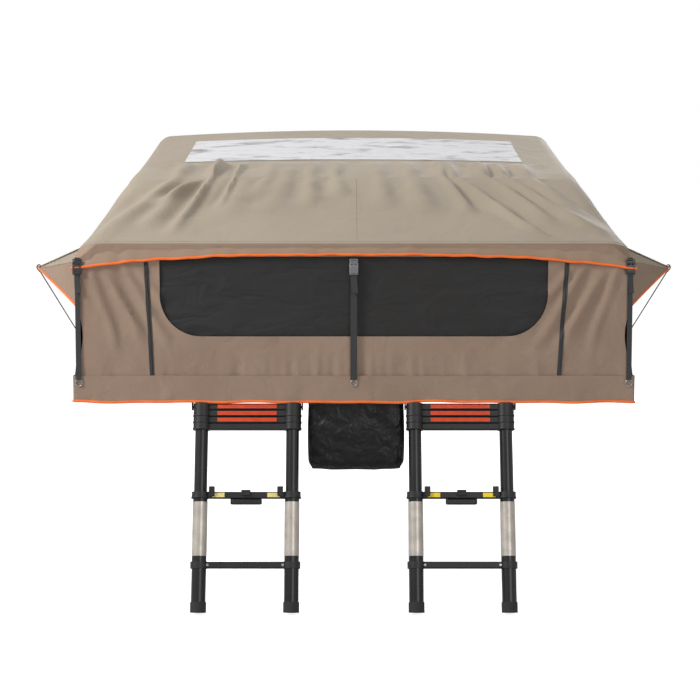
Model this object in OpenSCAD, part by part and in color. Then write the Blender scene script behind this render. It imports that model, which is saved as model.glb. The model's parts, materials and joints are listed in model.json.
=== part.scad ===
// Fold-out roof top tent with two telescopic ladders.
// Origin: middle of the rack face under the fixed base half. X runs along the hinge, -Y is the ladder end.

/* [Base] */
// Width of the base, along the hinge line
base_w = 2380; // [2200:10:2500]
// Depth of each base half, from the hinge to its end
half_d = 1250; // [1200:10:1300]
// Height of the base frame section
frame_h = 60; // [50:1:70]
// Width of the base frame section
frame_b = 40; // [36:1:60]
// Height of the hinge axis above the frames
hinge_up = 115; // [112:1:130]
// Thickness of the lip that carries the floor panels
lip_t = 5; // [4:0.5:8]
// Thickness of each mattress half, without its crown
mattress_h = 60; // [40:1:64]

/* [Rack channels] */
// Height of a mounting channel
channel_h = 25; // [24:1:40]
// Width of a mounting channel
channel_w = 60; // [50:1:80]
// Distance from a channel's end to the edge of the base
channel_in = 10; // [5:1:30]
// Distance between the two channels
channel_gap = 760; // [600:10:900]
// Slot opening for the rack bolts
slot_w = 9; // [8:0.5:11]

/* [Bows] */
// Diameter of the bow tubes
bow_d = 20; // [16:1:22]
// Reach of the ridge bow, from the hinge axis to its crossbar
ridge_reach = 1000; // [900:10:1050]
// Angle of the two eave bows above the base
eave_angle = 21.5; // [20:0.5:23]
// Angle of the two middle bows above the base
mid_angle = 46; // [42:0.5:50]
// Distance of the upper bows inside the front eave bow, on each side
upper_in = 176; // [130:2:220]
// Bend radius at the bow corners
bend_r = 110; // [90:5:140]

/* [Fabric] */
// Thickness of the tent and fly cloth in the model
cloth_t = 2; // [1.5:0.1:2.5]
// Height of the skirt around the base
skirt_h = 114; // [105:1:125]
// Width of the mesh window
window_w = 1650; // [1500:10:1750]
// Height of the mesh window
window_h = 335; // [300:5:350]
// Reach of the side awnings beyond the base
awning_out = 200; // [150:10:260]
// Height of the awning tips above the hinge axis
awning_up = 385; // [350:5:410]
// Width of the skylight
skylight_w = 1560; // [1400:10:1640]
// Diameter of the awning rods
rod_d = 5; // [4:0.5:6]
// Width of the shoe bag
bag_w = 400; // [340:10:410]
// Height of the shoe bag
bag_h = 275; // [240:5:320]
// Depth of the shoe bag
bag_d = 80; // [60:5:100]
// Width of the strap webbing
web_w = 30; // [25:1:38]

/* [Ladders] */
// Distance of each ladder from the middle of the tent
ladder_x = 453; // [446:1:480]
// Distance between the two rails of a ladder
rail_gap = 386; // [370:1:400]
// Lean of the ladders from the vertical
ladder_lean = 17; // [12:1:20]
// Height of one rung, and so the step of the closed stack
rung_h = 28.1; // [26:0.1:30]
// Pitch of the rungs that are pulled out
rung_pitch = 292; // [280:1:300]
// Depth of the rung bars
rung_d = 34; // [30:1:40]
// Radius of the lowest, widest rail tube
rail_r = 30.5; // [30:0.5:32]
// Wall of the rail tubes
rail_wall = 1.8; // [1.5:0.1:2]
// Distance from the riveted low rung down to the ground
foot_drop = 195; // [180:5:220]

/* [Hidden] */
$fn = 64;

run_fit = 0.06;        // radial clearance of a turning pin
seat_fit = 0.1;        // radial clearance of a fixed seat
slide_gap = 1.2;       // radial gap between telescoping tubes
stack_gap = 0.4;       // gap between closed rungs
half_gap = 2;          // half of the gap between the base halves
cloth_gap = 0.3;       // gap between cloth and what carries it
channel_l = base_w - 2 * channel_in;
frame_z = channel_h;
frame_top = frame_z + frame_h;
hinge_y = -half_d / 2;
hinge_z = frame_top + hinge_up;
skirt_z = frame_z - 10;
edge_x = base_w / 2;

// The bows in order from front to rear: angle from the rear, place on the pin, reach
FRONT_EAVE = 0;
FRONT_MID = 1;
RIDGE = 2;
REAR_MID = 3;
REAR_EAVE = 4;
bow_step = 28;
reach_step = 30;
pin_out_x = edge_x - 18;
eave_inset = 22;
front_reach = (half_d - eave_inset) / cos(eave_angle);
bow_phi = [180 - eave_angle, 180 - mid_angle, 90, mid_angle, eave_angle];
bow_x = [pin_out_x, pin_out_x - upper_in, pin_out_x - upper_in - 2 * bow_step,
         pin_out_x - upper_in - bow_step, pin_out_x - 45];
bow_reach = [front_reach, ridge_reach + 2 * reach_step, ridge_reach,
             ridge_reach + reach_step, front_reach - reach_step];
eye_r = 14;
eye_w = bow_d + 3;
pin_r = 6;

// Hinge plates beside the bows on the pin
plate_t = 6;
fixed_plates = [pin_out_x - 19, bow_x[RIDGE] - 26];
folding_plates = [pin_out_x - 27, bow_x[RIDGE] - 18];
plate_r = 18;
plate_foot = [6, 62];

// Cloth: flats round a bow's bend and their sag, distance from a bow's axis, gap at a seam, lowest reach
bend_n = 12;
bend_sag = (bend_r + bow_d) * (1 - cos(90 / bend_n / 2));
cloth_seat = bow_d / 2 + cloth_t / 2 + cloth_gap + bend_sag;
seam_gap = 0.012;
low_reach = 110;
leg_share = 0.4;
panel_rows = 4;
leg_n = 3;
top_n = 4;
base_end = half_d - half_gap;
wall_lap = 20;
wall_low = -hinge_up - wall_lap;
side_x = edge_x + cloth_gap + cloth_t / 2;
wall_top = front_reach * sin(eave_angle) + 2;
skirt_t = 3;
skirt_off = 2 * cloth_gap + cloth_t;
web_t = 2.5;
strap_y = -(base_end + skirt_off + skirt_t + cloth_gap + web_t);
window_low = wall_top - window_h - 55;
window_r = 160;

// Awning hem points on each bow plane: x, reach
awning_tip_x = edge_x + awning_out;
hem = [[awning_tip_x, awning_up / sin(eave_angle)], [awning_tip_x - 40, 350 / sin(mid_angle)],
       [awning_tip_x - 60, 340], [awning_tip_x - 40, 350 / sin(mid_angle)],
       [awning_tip_x, awning_up / sin(eave_angle)]];
awning_seam = [front_reach - 25, 490 / sin(mid_angle), 490, 490 / sin(mid_angle), front_reach - 55];
flap_low = 230;
rod_front_y = -330;
rod_rear_y = 400;
rod_peg_z = -hinge_up - frame_h / 2;
// The rear rods stand further in, so the front ones fold past them
rod_inset = 14;

// Ladder stack: section 5 is the top one, section 1 the bottom one
rung_step = rung_h + stack_gap;
tube_step = rail_wall + slide_gap;
pivot_y = hinge_y - half_d + 14;
pivot_z = skirt_z - 22;
collar_r = rail_r + 6;
tube_len = rung_pitch + 78;
trunnion_r = 6;
trunnion_reach = 12;
bracket_t = 6;
bracket_gap = 1.5;
foot_h = 43;
function rung_w(k) = k == 1 ? 3 * rung_step + rung_pitch : (5 - k) * rung_step;
function tube_r(k) = rail_r - (k - 1) * tube_step;
low_rung_w = rung_w(1) + rung_pitch;
ground_w = low_rung_w + foot_drop;

cloth_khaki = "#a99d88";
cloth_taupe = "#8f7c6c";
black_metal = "#202124";
bare_metal = "#b9bcc0";

function polar(phi, p) = [p[0], hinge_y + p[1] * cos(phi), hinge_z + p[1] * sin(phi)];
function mix(a, b, t) = a + (b - a) * t;

// Right half of a bow's outline, offset outwards: [x, reach] from the hinge up to the middle
function half_outline(i, off) =
    let (x0 = bow_x[i] + off, reach = bow_reach[i] + off, rb = bend_r + off)
    concat([for (j = [0:leg_n - 1]) [x0, mix(low_reach, reach - rb, j / leg_n)]],
           [for (j = [0:bend_n]) let (b = 90 * j / bend_n)
               [x0 - rb + rb * cos(b), reach - rb + rb * sin(b)]],
           [for (j = [1:top_n]) [(x0 - rb) * (1 - j / top_n), reach]]);
function outline(i, off) =
    let (h = half_outline(i, off), n = len(h))
    concat(h, [for (j = [n - 2:-1:0]) [-h[j][0], h[j][1]]]);
// Offset at bow a that lays a panel towards bow b just clear of the tube
function seat_off(a, b) =
    let (u = polar(bow_phi[a], [0, 1]) - polar(bow_phi[a], [0, 0]),
         chord = polar(bow_phi[b], [0, bow_reach[b]]) - polar(bow_phi[a], [0, bow_reach[a]]))
    cloth_seat / norm(cross(u, unit(chord)));
// Share of the way in from the wider bow: the cloth passes that bow's leg before it draws in
function drawn_in(a, b, t) =
    bow_x[a] > bow_x[b] ? max(0, (t - leg_share) / (1 - leg_share)) : min(1, t / (1 - leg_share));
// A point between two bow planes, at share t of the way
function between(a, b, pa, pb, t) =
    let (p = mix(polar(bow_phi[a], pa), polar(bow_phi[b], pb), t))
    [mix(pa[0], pb[0], drawn_in(a, b, t)), p[1], p[2]];
// Points of a panel stretched between two bows, lifted off them, from t0 to t1
function panel(a, b, lift, t0, t1, rows) =
    let (pa = outline(a, seat_off(a, b) + lift), pb = outline(b, seat_off(b, a) + lift))
    [for (i = [0:rows]) let (t = mix(t0, t1, i / rows))
        [for (j = [0:len(pa) - 1]) between(a, b, pa[j], pb[j], t)]];

function unit(v) = v / norm(v);
function grid_normal(g, i, j) =
    let (n = len(g) - 1, m = len(g[0]) - 1,
         du = g[min(i + 1, n)][j] - g[max(i - 1, 0)][j],
         dv = g[i][min(j + 1, m)] - g[i][max(j - 1, 0)])
    unit(cross(du, dv));
function quad(a, b, c, d) = [[a, b, c], [a, c, d]];

// A cloth sheet: a closed solid of thickness t around a grid of points
module sheet(g, t) {
    n = len(g) - 1;
    m = len(g[0]) - 1;
    top = [for (i = [0:n], j = [0:m]) g[i][j] + grid_normal(g, i, j) * t / 2];
    low = [for (i = [0:n], j = [0:m]) g[i][j] - grid_normal(g, i, j) * t / 2];
    base = len(top);
    w = m + 1;
    over = [for (i = [0:n - 1], j = [0:m - 1])
        each quad(i * w + j, i * w + j + 1, (i + 1) * w + j + 1, (i + 1) * w + j)];
    under = [for (f = over) [f[2] + base, f[1] + base, f[0] + base]];
    side_j = [for (i = [0:n - 1]) each concat(
        quad(i * w, (i + 1) * w, (i + 1) * w + base, i * w + base),
        quad(i * w + m, i * w + m + base, (i + 1) * w + m + base, (i + 1) * w + m))];
    side_i = [for (j = [0:m - 1]) each concat(
        quad(j, j + base, j + 1 + base, j + 1),
        quad(n * w + j, n * w + j + 1, n * w + j + 1 + base, n * w + j + base))];
    polyhedron(concat(top, low), concat(over, under, side_j, side_i));
}

module both_sides() {
    children();
    mirror([1, 0, 0]) children();
}
module at_hinge() {
    translate([0, hinge_y, hinge_z]) children();
}
module ring2d(r, wall) {
    difference() {
        circle(r);
        circle(r - wall);
    }
}
// A flat outline with round corners
module rounded2d(w, d, r) {
    square([w - 2 * r, d], center = true);
    square([w, d - 2 * r], center = true);
    for (x = [-1, 1], y = [-1, 1]) translate([x * (w / 2 - r), y * (d / 2 - r)]) circle(r);
}
// A shape drawn in the Y-Z plane, given its middle X and its thickness
module upright_plate(x, t) {
    translate([x - t / 2, 0, 0]) rotate([90, 0, 90]) linear_extrude(t) children();
}
// A shape drawn in the X-Z plane, given its front Y and its thickness
module front_plate(y, t) {
    translate([0, y + t, 0]) rotate([90, 0, 0]) linear_extrude(t) children();
}
// A round rod through points of one plane, as a closed tube
module rod(points, d) {
    sides = 10;
    n = len(points) - 1;
    w = sides;
    function run(i) = unit(points[i + 1] - points[i]);
    across = unit(cross(run(0), run(n - 1)));
    rings = [for (i = [0:n])
        let (before = run(max(i - 1, 0)), after = run(min(i, n - 1)),
             ahead = unit(before + after), up = cross(across, ahead) / (before * ahead))
        for (k = [0:sides - 1]) let (turn = 360 * k / sides)
            points[i] + d / 2 * (across * cos(turn) + up * sin(turn))];
    walls = [for (i = [0:n - 1], k = [0:sides - 1])
        each quad(i * w + k, (i + 1) * w + k, (i + 1) * w + (k + 1) % w, i * w + (k + 1) % w)];
    polyhedron(rings, concat(walls, [[for (k = [0:w - 1]) k], [for (k = [w - 1:-1:0]) n * w + k]]));
}

// Base halves, drawn for the half that runs to +Y from the hinge
module base_frame(rod_y) {
    lip = 14;
    d = half_d - 2 * half_gap;
    translate([0, half_gap + d / 2, 0]) {
        difference() {
            translate([-edge_x, -d / 2, frame_z]) cube([base_w, d, frame_h]);
            translate([-edge_x + frame_b, -d / 2 + frame_b, frame_z + lip_t])
                cube([base_w - 2 * frame_b, d - 2 * frame_b, frame_h]);
            translate([-edge_x + frame_b + lip, -d / 2 + frame_b + lip, frame_z - 1])
                cube([base_w - 2 * (frame_b + lip), d - 2 * (frame_b + lip), frame_h]);
            both_sides() translate([edge_x - frame_b / 2, rod_y - half_gap - d / 2, hinge_z + rod_peg_z])
                rotate([0, 90, 0]) cylinder(r = rod_d / 2 + seat_fit, h = frame_b);
        }
    }
}
module base_floor() {
    inset = frame_b + cloth_gap;
    translate([-edge_x + inset, half_gap + inset, frame_z + lip_t])
        cube([base_w - 2 * inset, half_d - 2 * half_gap - 2 * inset, frame_h - lip_t]);
}

// Mattress half: drawn-in sides, rolled edges and a low crown
function ring(w, d, r, z) =
    [for (c = [[1, 1, 0], [-1, 1, 90], [-1, -1, 180], [1, -1, 270]], j = [0:5])
        [c[0] * (w / 2 - r) + r * cos(c[2] + j * 18), c[1] * (d / 2 - r) + r * sin(c[2] + j * 18), z]];
module cushion(w, d, h) {
    levels = [[30, 0], [6, 4], [0, 14], [10, h * 0.5], [0, h - 14], [8, h - 4], [40, h], [160, h + 3], [400, h + 5]];
    rings = [for (l = levels) ring(w - 2 * l[0], d - 2 * l[0], max(70 - l[0], 12), l[1])];
    n = len(rings[0]);
    m = len(rings) - 1;
    walls = [for (i = [0:m - 1], j = [0:n - 1])
        each quad(i * n + j, (i + 1) * n + j, (i + 1) * n + (j + 1) % n, i * n + (j + 1) % n)];
    polyhedron([for (r = rings) each r],
               concat(walls, [[for (j = [0:n - 1]) j], [for (j = [n - 1:-1:0]) m * n + j]]));
}
module base_mattress() {
    w = 2 * (folding_plates[1] - plate_t - 12);
    d = half_d - 2 * half_gap - 60;
    translate([0, 4 + d / 2, frame_top + cloth_gap]) cushion(w, d, mattress_h);
}

// Hinge: an outer and an inner plate on one foot, on each side of the tent
module hinge_bracket(plates, fit) {
    foot_t = 6;
    foot_w = plates[0] - plates[1] + plate_t;
    translate([0, 0, -hinge_up]) difference() {
        union() {
            for (x = plates) upright_plate(x, plate_t) {
                translate([0, hinge_up]) circle(plate_r);
                polygon([[-plate_r, hinge_up], [plate_r, hinge_up], [plate_foot[1], 0], [plate_foot[0], 0]]);
            }
            translate([plates[1] - plate_t / 2, plate_foot[0], 0])
                cube([foot_w, plate_foot[1] - plate_foot[0], foot_t]);
        }
        translate([plates[1] - plate_t, 0, hinge_up]) rotate([0, 90, 0])
            cylinder(r = pin_r + fit, h = foot_w + plate_t);
    }
}
module hinge_pin() {
    head_r = 10;
    head_t = 3;
    tail = fixed_plates[1] - plate_t / 2 - 4;
    length = pin_out_x + eye_w / 2 + 1 - tail;
    translate([tail, 0, 0]) rotate([0, 90, 0]) {
        cylinder(r = pin_r, h = length);
        translate([0, 0, length]) cylinder(r = head_r, h = head_t);
    }
}

// A bow: two legs with eyes on the hinge pins, two bends and a crossbar, in its own plane
module bow(i) {
    reach = bow_reach[i];
    x0 = bow_x[i];
    at_hinge() rotate([bow_phi[i], 0, 0]) {
        both_sides() {
            difference() {
                union() {
                    translate([x0, 0, 0]) rotate([-90, 0, 0]) cylinder(d = bow_d, h = reach - bend_r);
                    translate([x0 - eye_w / 2, 0, 0]) rotate([0, 90, 0]) cylinder(r = eye_r, h = eye_w);
                }
                translate([x0 - eye_w, 0, 0]) rotate([0, 90, 0]) cylinder(r = pin_r + run_fit, h = 2 * eye_w);
            }
            translate([x0 - bend_r, reach - bend_r, 0]) rotate_extrude(angle = 90)
                translate([bend_r, 0]) circle(d = bow_d);
        }
        translate([bend_r - x0, reach, 0]) rotate([0, 90, 0]) cylinder(d = bow_d, h = 2 * (x0 - bend_r));
    }
}

// Side awning between two bow planes, sewn to the side cloth
module awning(a, b) {
    cols = 3;
    function seam_pt(i) = [bow_x[i] + seat_off(i, i == a ? b : a) + cloth_t, awning_seam[i]];
    function cross_pt(i, v) = mix(seam_pt(i), hem[i], v);
    both_sides() sheet([for (i = [0:panel_rows]) let (t = mix(seam_gap, 1 - seam_gap, i / panel_rows))
        [for (j = [0:cols]) between(a, b, cross_pt(a, j / cols), cross_pt(b, j / cols), t)]], cloth_t);
}
module fly_panel(a, b) {
    sheet(panel(a, b, 0, seam_gap, 1 - seam_gap, panel_rows), cloth_t);
}

// Skylight opening in the front top panel, seen square to that panel
module skylight_cut(grow, depth) {
    pa = polar(bow_phi[FRONT_MID], [0, bow_reach[FRONT_MID] + cloth_seat]);
    pb = polar(bow_phi[RIDGE], [0, bow_reach[RIDGE] + cloth_seat]);
    slope = atan2(pb[2] - pa[2], pb[1] - pa[1]);
    run = norm(pb - pa);
    translate(mix(pa, pb, 0.58)) rotate([slope, 0, 0]) translate([0, 0, -depth / 2]) linear_extrude(depth)
        rounded2d(skylight_w + 2 * grow, run * 0.42 + 2 * grow, 60);
}

// Walls
module window2d(grow) {
    w = window_w + 2 * grow;
    h = window_h + 2 * grow;
    translate([0, window_low - grow + h / 2]) {
        translate([0, window_r / 2]) square([w, h - window_r], center = true);
        square([w - 2 * window_r, h], center = true);
    }
    for (x = [-1, 1]) translate([x * (w / 2 - window_r), window_low - grow + window_r]) circle(window_r);
}
module front_wall2d() {
    drop = 75;
    side = edge_x - 3;
    shoulder = side - 95;
    polygon([[-side, wall_low], [side, wall_low], [side, wall_top - drop], [shoulder, wall_top],
             [-shoulder, wall_top], [-side, wall_top - drop]]);
}
module front_side_panel() {
    back = -low_reach * cos(eave_angle);
    front = -base_end + cloth_gap;
    lift = tan(eave_angle) * 0.985;
    upright_plate(side_x, cloth_t)
        polygon([[back, wall_low], [front, wall_low], [front, -front * lift], [back, -back * lift]]);
}
// Closing flap of the awning, from its tip to the wall's corner
module awning_flap() {
    edge = side_x + cloth_t / 2 + 2 * cloth_gap;
    phi = bow_phi[FRONT_EAVE] + 0.4;
    tip = polar(phi, hem[FRONT_EAVE]);
    top = polar(phi, [edge, awning_seam[FRONT_EAVE]]);
    wall = [edge, hinge_y - base_end + 6, hinge_z + flap_low];
    steps = 3;
    sheet([for (i = [0:steps]) [for (j = [0, 1])
        mix(mix(top, wall, 0.02 + 0.96 * i / steps), tip, j * 0.97)]], cloth_t);
}
module skirt(off) {
    w = base_w + 2 * (off + skirt_t);
    d = 2 * (base_end + off + skirt_t);
    translate([0, 0, skirt_z]) linear_extrude(skirt_h) difference() {
        rounded2d(w, d, skirt_t);
        square([w - 2 * skirt_t, d - 2 * skirt_t], center = true);
        translate([-w, -d + half_gap]) square([2 * w, d]);
    }
}
module skirt_with_eyelets(off, rod_y) {
    eyelet_r = rod_d / 2 + 2.5;
    difference() {
        skirt(off);
        both_sides() translate([edge_x - 1, rod_y, hinge_z + rod_peg_z]) rotate([0, 90, 0])
            cylinder(r = eyelet_r, h = 40);
    }
}
module awning_rods(peg_y, tip_y, inset) {
    bend = [edge_x + 26 - inset, peg_y, rod_peg_z];
    tip = [awning_tip_x - 6 - inset, tip_y, awning_up - 16];
    peg = [edge_x - frame_b / 2 + 2, peg_y, rod_peg_z];
    both_sides() rod([peg, mix(bend, peg, 0.2), mix(bend, tip, 0.02), tip], rod_d);
}

// Ladder pieces, in the ladder's own frame: origin on the pivot, -Z down the rails
module on_ladder(side) {
    translate([side * ladder_x, pivot_y, pivot_z]) rotate([-ladder_lean, 0, 0]) children();
}
module rails(k) {
    length = k == 1 ? ground_w - 13 - rung_w(1) : tube_len;
    for (x = [-1, 1]) translate([x * rail_gap / 2, 0, -rung_w(k) - length])
        linear_extrude(length) ring2d(tube_r(k), rail_wall);
}
module rung_bar() {
    length = rail_gap - collar_r;
    rotate([0, 90, 0]) linear_extrude(length, center = true) rounded2d(rung_h, rung_d, 6);
    for (x = [-1, 1]) translate([x * rail_gap / 2, 0, 0]) cylinder(r = collar_r, h = rung_h, center = true);
}
module rung_core() {
    wall = 3;
    cube([rail_gap - 2 * collar_r - 6, rung_d - 2 * wall, rung_h - 2 * wall], center = true);
}
module rung(k) {
    translate([0, 0, -rung_w(k)]) difference() {
        rung_bar();
        rung_core();
        for (x = [-1, 1]) translate([x * rail_gap / 2, 0, 0]) {
            translate([0, 0, -rung_h]) cylinder(r = tube_r(k) + seat_fit, h = rung_h);
            if (k < 5) cylinder(r = tube_r(k + 1) + slide_gap / 2, h = rung_h);
            if (k == 5) translate([x * (collar_r - trunnion_reach), 0, 0]) rotate([0, x * 90, 0])
                cylinder(r = trunnion_r + run_fit, h = collar_r);
        }
        if (k == 1) button_pocket();
    }
    if (k == 1) translate([0, 0, -low_rung_w]) difference() {
        rung_bar();
        rung_core();
        for (x = [-1, 1]) translate([x * rail_gap / 2, 0, 0])
            cylinder(r = tube_r(1) + seat_fit, h = 2 * rung_h, center = true);
    }
}
// Release button in the front face of the bottom section's upper rung
button = [38, 12, 12];
button_out = 4;
module button_pocket() {
    clear = 0.4;
    translate([0, -rung_d / 2 + button[1] / 2 + 2, 4])
        cube([button[0] + 2 * clear, button[1] + 6, button[2] + 2 * clear], center = true);
}
module release_button() {
    translate([0, -rung_d / 2 + button[1] / 2 - button_out, 4 - rung_w(1)]) cube(button, center = true);
}
module carry_handle() {
    w = 132;
    drop = 24;
    bar = 9;
    depth = 16;
    translate([0, depth / 2, -rung_w(1) - rung_h / 2 - drop / 2]) rotate([90, 0, 0]) linear_extrude(depth)
        difference() {
            rounded2d(w, drop, 4);
            translate([0, bar / 2]) square([w - 2 * bar, drop - bar], center = true);
        }
}
module ladder_feet() {
    foot_r = rail_r + 3;
    seat = foot_h - 13;
    for (x = [-1, 1]) translate([x * rail_gap / 2, 0, -ground_w]) difference() {
        cylinder(r = foot_r, h = foot_h);
        translate([0, 0, foot_h - seat]) cylinder(r = rail_r + seat_fit, h = foot_h);
    }
}
module ladder_bracket() {
    plate_w = 28;
    lap = collar_r + bracket_gap;
    for (side = [-1, 1], x = [-1, 1]) translate([side * ladder_x + x * rail_gap / 2, pivot_y, 0]) {
        translate([x * (lap + bracket_t / 2), 0, 0]) upright_plate(0, bracket_t) {
            translate([0, pivot_z]) circle(plate_w / 2);
            translate([-plate_w / 2, pivot_z]) square([plate_w, frame_z - pivot_z]);
        }
        translate([x * (lap + bracket_t / 2), 0, pivot_z]) rotate([0, -x * 90, 0])
            cylinder(r = trunnion_r, h = bracket_t / 2 + bracket_gap + trunnion_reach - 1);
    }
}

// Shoe bag: an open pouch under the front edge, on two tabs
module shoe_bag_shape() {
    wall = 3;
    top = skirt_z - 14;
    r = 22;
    y = hinge_y - half_d + 20;
    translate([0, y, top - bag_h]) difference() {
        front_plate(0, bag_d) translate([0, bag_h / 2]) rounded2d(bag_w, bag_h, r);
        translate([0, wall, 0]) front_plate(0, bag_d - 2 * wall) translate([0, bag_h / 2 + r])
            rounded2d(bag_w - 2 * wall, bag_h + 2 * r - 2 * wall, r - wall);
        translate([-bag_w, -1, bag_h - r]) cube([2 * bag_w, bag_d + 2, r + 1]);
    }
    for (x = [-1, 1]) translate([x * bag_w * 0.35 - web_w / 2, y, top - r])
        cube([web_w, wall, frame_z - top + r]);
}

// Front straps, from the valance down to the skirt
strap_x = [-edge_x + 22, 0, edge_x - 22];
strap_top = wall_top - 55;
strap_low = skirt_z + skirt_h - 14 - hinge_z;
module straps() {
    for (x = strap_x) translate([x - web_w / 2, strap_y, strap_low]) cube([web_w, web_t, strap_top - strap_low]);
}
module buckles() {
    w = web_w + 10;
    h = 62;
    t = 12;
    for (x = strap_x) translate([x, 0, strap_top - h / 2 - 6]) front_plate(strap_y - t - 0.2, t) rounded2d(w, h, 8);
}
module strap_ring_set() {
    ring_r = 14;
    wire = 4;
    for (x = strap_x) translate([x, strap_y + web_t - wire / 2, strap_low - ring_r - wire / 2 - cloth_gap])
        rotate([90, 0, 0])
        rotate_extrude() translate([ring_r, 0]) circle(d = wire, $fn = 24);
}

module mount_channels() color(bare_metal)
    for (y = [-1, 1]) translate([-channel_l / 2, y * channel_gap / 2, 0]) rotate([90, 0, 90])
        linear_extrude(channel_l) difference() {
            translate([-channel_w / 2, 0]) square([channel_w, channel_h]);
            translate([-slot_w / 2, -1]) square([slot_w, channel_h / 2]);
            translate([-slot_w, 5]) square([2 * slot_w, channel_h - 9]);
        }
module fixed_frame() color(bare_metal) translate([0, hinge_y, 0]) base_frame(rod_rear_y);
module fixed_floor() color("#7d7f80") translate([0, hinge_y, 0]) base_floor();
module fixed_mattress() color("#a9aaa6") translate([0, hinge_y, 0]) base_mattress();
module fixed_hinge_brackets() color(bare_metal) at_hinge() both_sides() hinge_bracket(fixed_plates, seat_fit);
module hinge_pins() color("#8b8f94") at_hinge() both_sides() hinge_pin();
module rear_wall() color(cloth_taupe) {
    foot = cloth_t + cloth_gap;
    low_z = -hinge_up + cloth_gap;
    top_z = bow_reach[REAR_EAVE] * sin(eave_angle) - 4;
    top_y = bow_reach[REAR_EAVE] * cos(eave_angle) + cloth_seat;
    top_x = bow_x[REAR_EAVE];
    at_hinge() sheet([for (i = [0:3]) [for (j = [0:6]) let (v = i / 3, u = j / 3 - 1)
        [u * mix(edge_x - 2 * foot, top_x, v), mix(base_end - foot, top_y, v), mix(low_z, top_z, v)]]], cloth_t);
    far = [top_x + cloth_seat, bow_reach[REAR_EAVE] - 30];
    near = [far[0], low_reach];
    both_sides() sheet([for (i = [0:3]) [for (j = [0:4]) let (v = i / 3, u = j / 4)
        mix([edge_x - foot, hinge_y + mix(low_reach, base_end - 4 * foot, u), hinge_z + low_z],
            polar(eave_angle - 0.7, mix(near, far, u)), v)]], cloth_t);
}
module rear_skirt() color(cloth_taupe) translate([0, hinge_y, 0]) skirt_with_eyelets(cloth_gap, rod_rear_y);
module rear_awning_rods() color("#55585c") at_hinge()
    awning_rods(rod_rear_y, awning_up / tan(eave_angle), rod_inset);
module folding_frame() color(bare_metal) translate([0, hinge_y, 0]) mirror([0, 1, 0]) base_frame(-rod_front_y);
module folding_floor() color("#7d7f80") translate([0, hinge_y, 0]) mirror([0, 1, 0]) base_floor();
module folding_mattress() color("#a9aaa6") translate([0, hinge_y, 0]) mirror([0, 1, 0]) base_mattress();
module folding_hinge_brackets() color(bare_metal)
    at_hinge() both_sides() mirror([0, 1, 0]) hinge_bracket(folding_plates, run_fit);
module ladder_brackets() color(black_metal) ladder_bracket();
module front_wall() color(cloth_taupe) at_hinge() front_plate(-base_end - cloth_gap - cloth_t, cloth_t) difference() {
    front_wall2d();
    window2d(0);
}
module window_mesh() color("#332f2d") at_hinge() front_plate(-base_end, 1) window2d(12);
module front_side_walls() color(cloth_taupe) {
    at_hinge() both_sides() front_side_panel();
    both_sides() awning_flap();
}
module front_skirt() color(cloth_taupe) translate([0, hinge_y, 0]) mirror([0, 1, 0])
    skirt_with_eyelets(skirt_off, -rod_front_y);
module front_awning_rods() color("#55585c") at_hinge()
    awning_rods(rod_front_y, -awning_up / tan(eave_angle), 0);
module shoe_bag() color("#1c1c1e") shoe_bag_shape();
module front_straps() color("#2b2b2b") at_hinge() straps();
module strap_buckles() color("#4a4a4c") at_hinge() buckles();
module strap_rings() color("#303133") at_hinge() strap_ring_set();
module front_eave_bow() color(bare_metal) bow(FRONT_EAVE);
module front_mid_bow() color(bare_metal) bow(FRONT_MID);
module ridge_bow() color(bare_metal) bow(RIDGE);
module rear_mid_bow() color(bare_metal) bow(REAR_MID);
module rear_eave_bow() color(bare_metal) bow(REAR_EAVE);
module fly_front() color(cloth_khaki) {
    fly_panel(FRONT_EAVE, FRONT_MID);
    awning(FRONT_EAVE, FRONT_MID);
}
module fly_front_top() color(cloth_khaki) {
    difference() {
        fly_panel(FRONT_MID, RIDGE);
        skylight_cut(0, 80);
    }
    awning(FRONT_MID, RIDGE);
}
module skylight() color("#dfe3e4", 0.5) intersection() {
    sheet(panel(FRONT_MID, RIDGE, cloth_t + cloth_gap, seam_gap, 1 - seam_gap, panel_rows), 1);
    skylight_cut(18, 90);
}
module fly_rear_top() color(cloth_khaki) {
    fly_panel(RIDGE, REAR_MID);
    awning(RIDGE, REAR_MID);
}
module fly_rear() color(cloth_khaki) {
    fly_panel(REAR_MID, REAR_EAVE);
    awning(REAR_MID, REAR_EAVE);
}
module ladder_rails(side, k) color(black_metal) on_ladder(side) rails(k);
module ladder_rung(side, k) color(black_metal) on_ladder(side) rung(k);
module ladder_foot_pair(side) color("#161616") on_ladder(side) ladder_feet();
module ladder_handle(side) color("#161616") on_ladder(side) carry_handle();
module ladder_button(side) color("#0f0f10") on_ladder(side) release_button();

mount_channels();
fixed_frame();
fixed_floor();
fixed_mattress();
fixed_hinge_brackets();
hinge_pins();
rear_wall();
rear_skirt();
rear_awning_rods();
folding_frame();
folding_floor();
folding_mattress();
folding_hinge_brackets();
ladder_brackets();
front_wall();
window_mesh();
front_side_walls();
front_skirt();
front_awning_rods();
shoe_bag();
front_straps();
strap_buckles();
strap_rings();
front_eave_bow();
front_mid_bow();
ridge_bow();
rear_mid_bow();
rear_eave_bow();
fly_front();
fly_front_top();
skylight();
fly_rear_top();
fly_rear();
for (side = [["left", -1], ["right", 1]]) {
    for (k = [1:5]) {
        ladder_rails(side[1], k);
        ladder_rung(side[1], k);
    }
    ladder_foot_pair(side[1]);
    ladder_handle(side[1]);
    ladder_button(side[1]);
}
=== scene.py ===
"""Looks of a fold-out roof top tent with two telescopic ladders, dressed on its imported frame."""

import json
import logging
import math
from collections.abc import Sequence
from dataclasses import dataclass
from enum import Enum

import bpy
import numpy as np
from mathutils import Matrix, Vector


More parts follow.
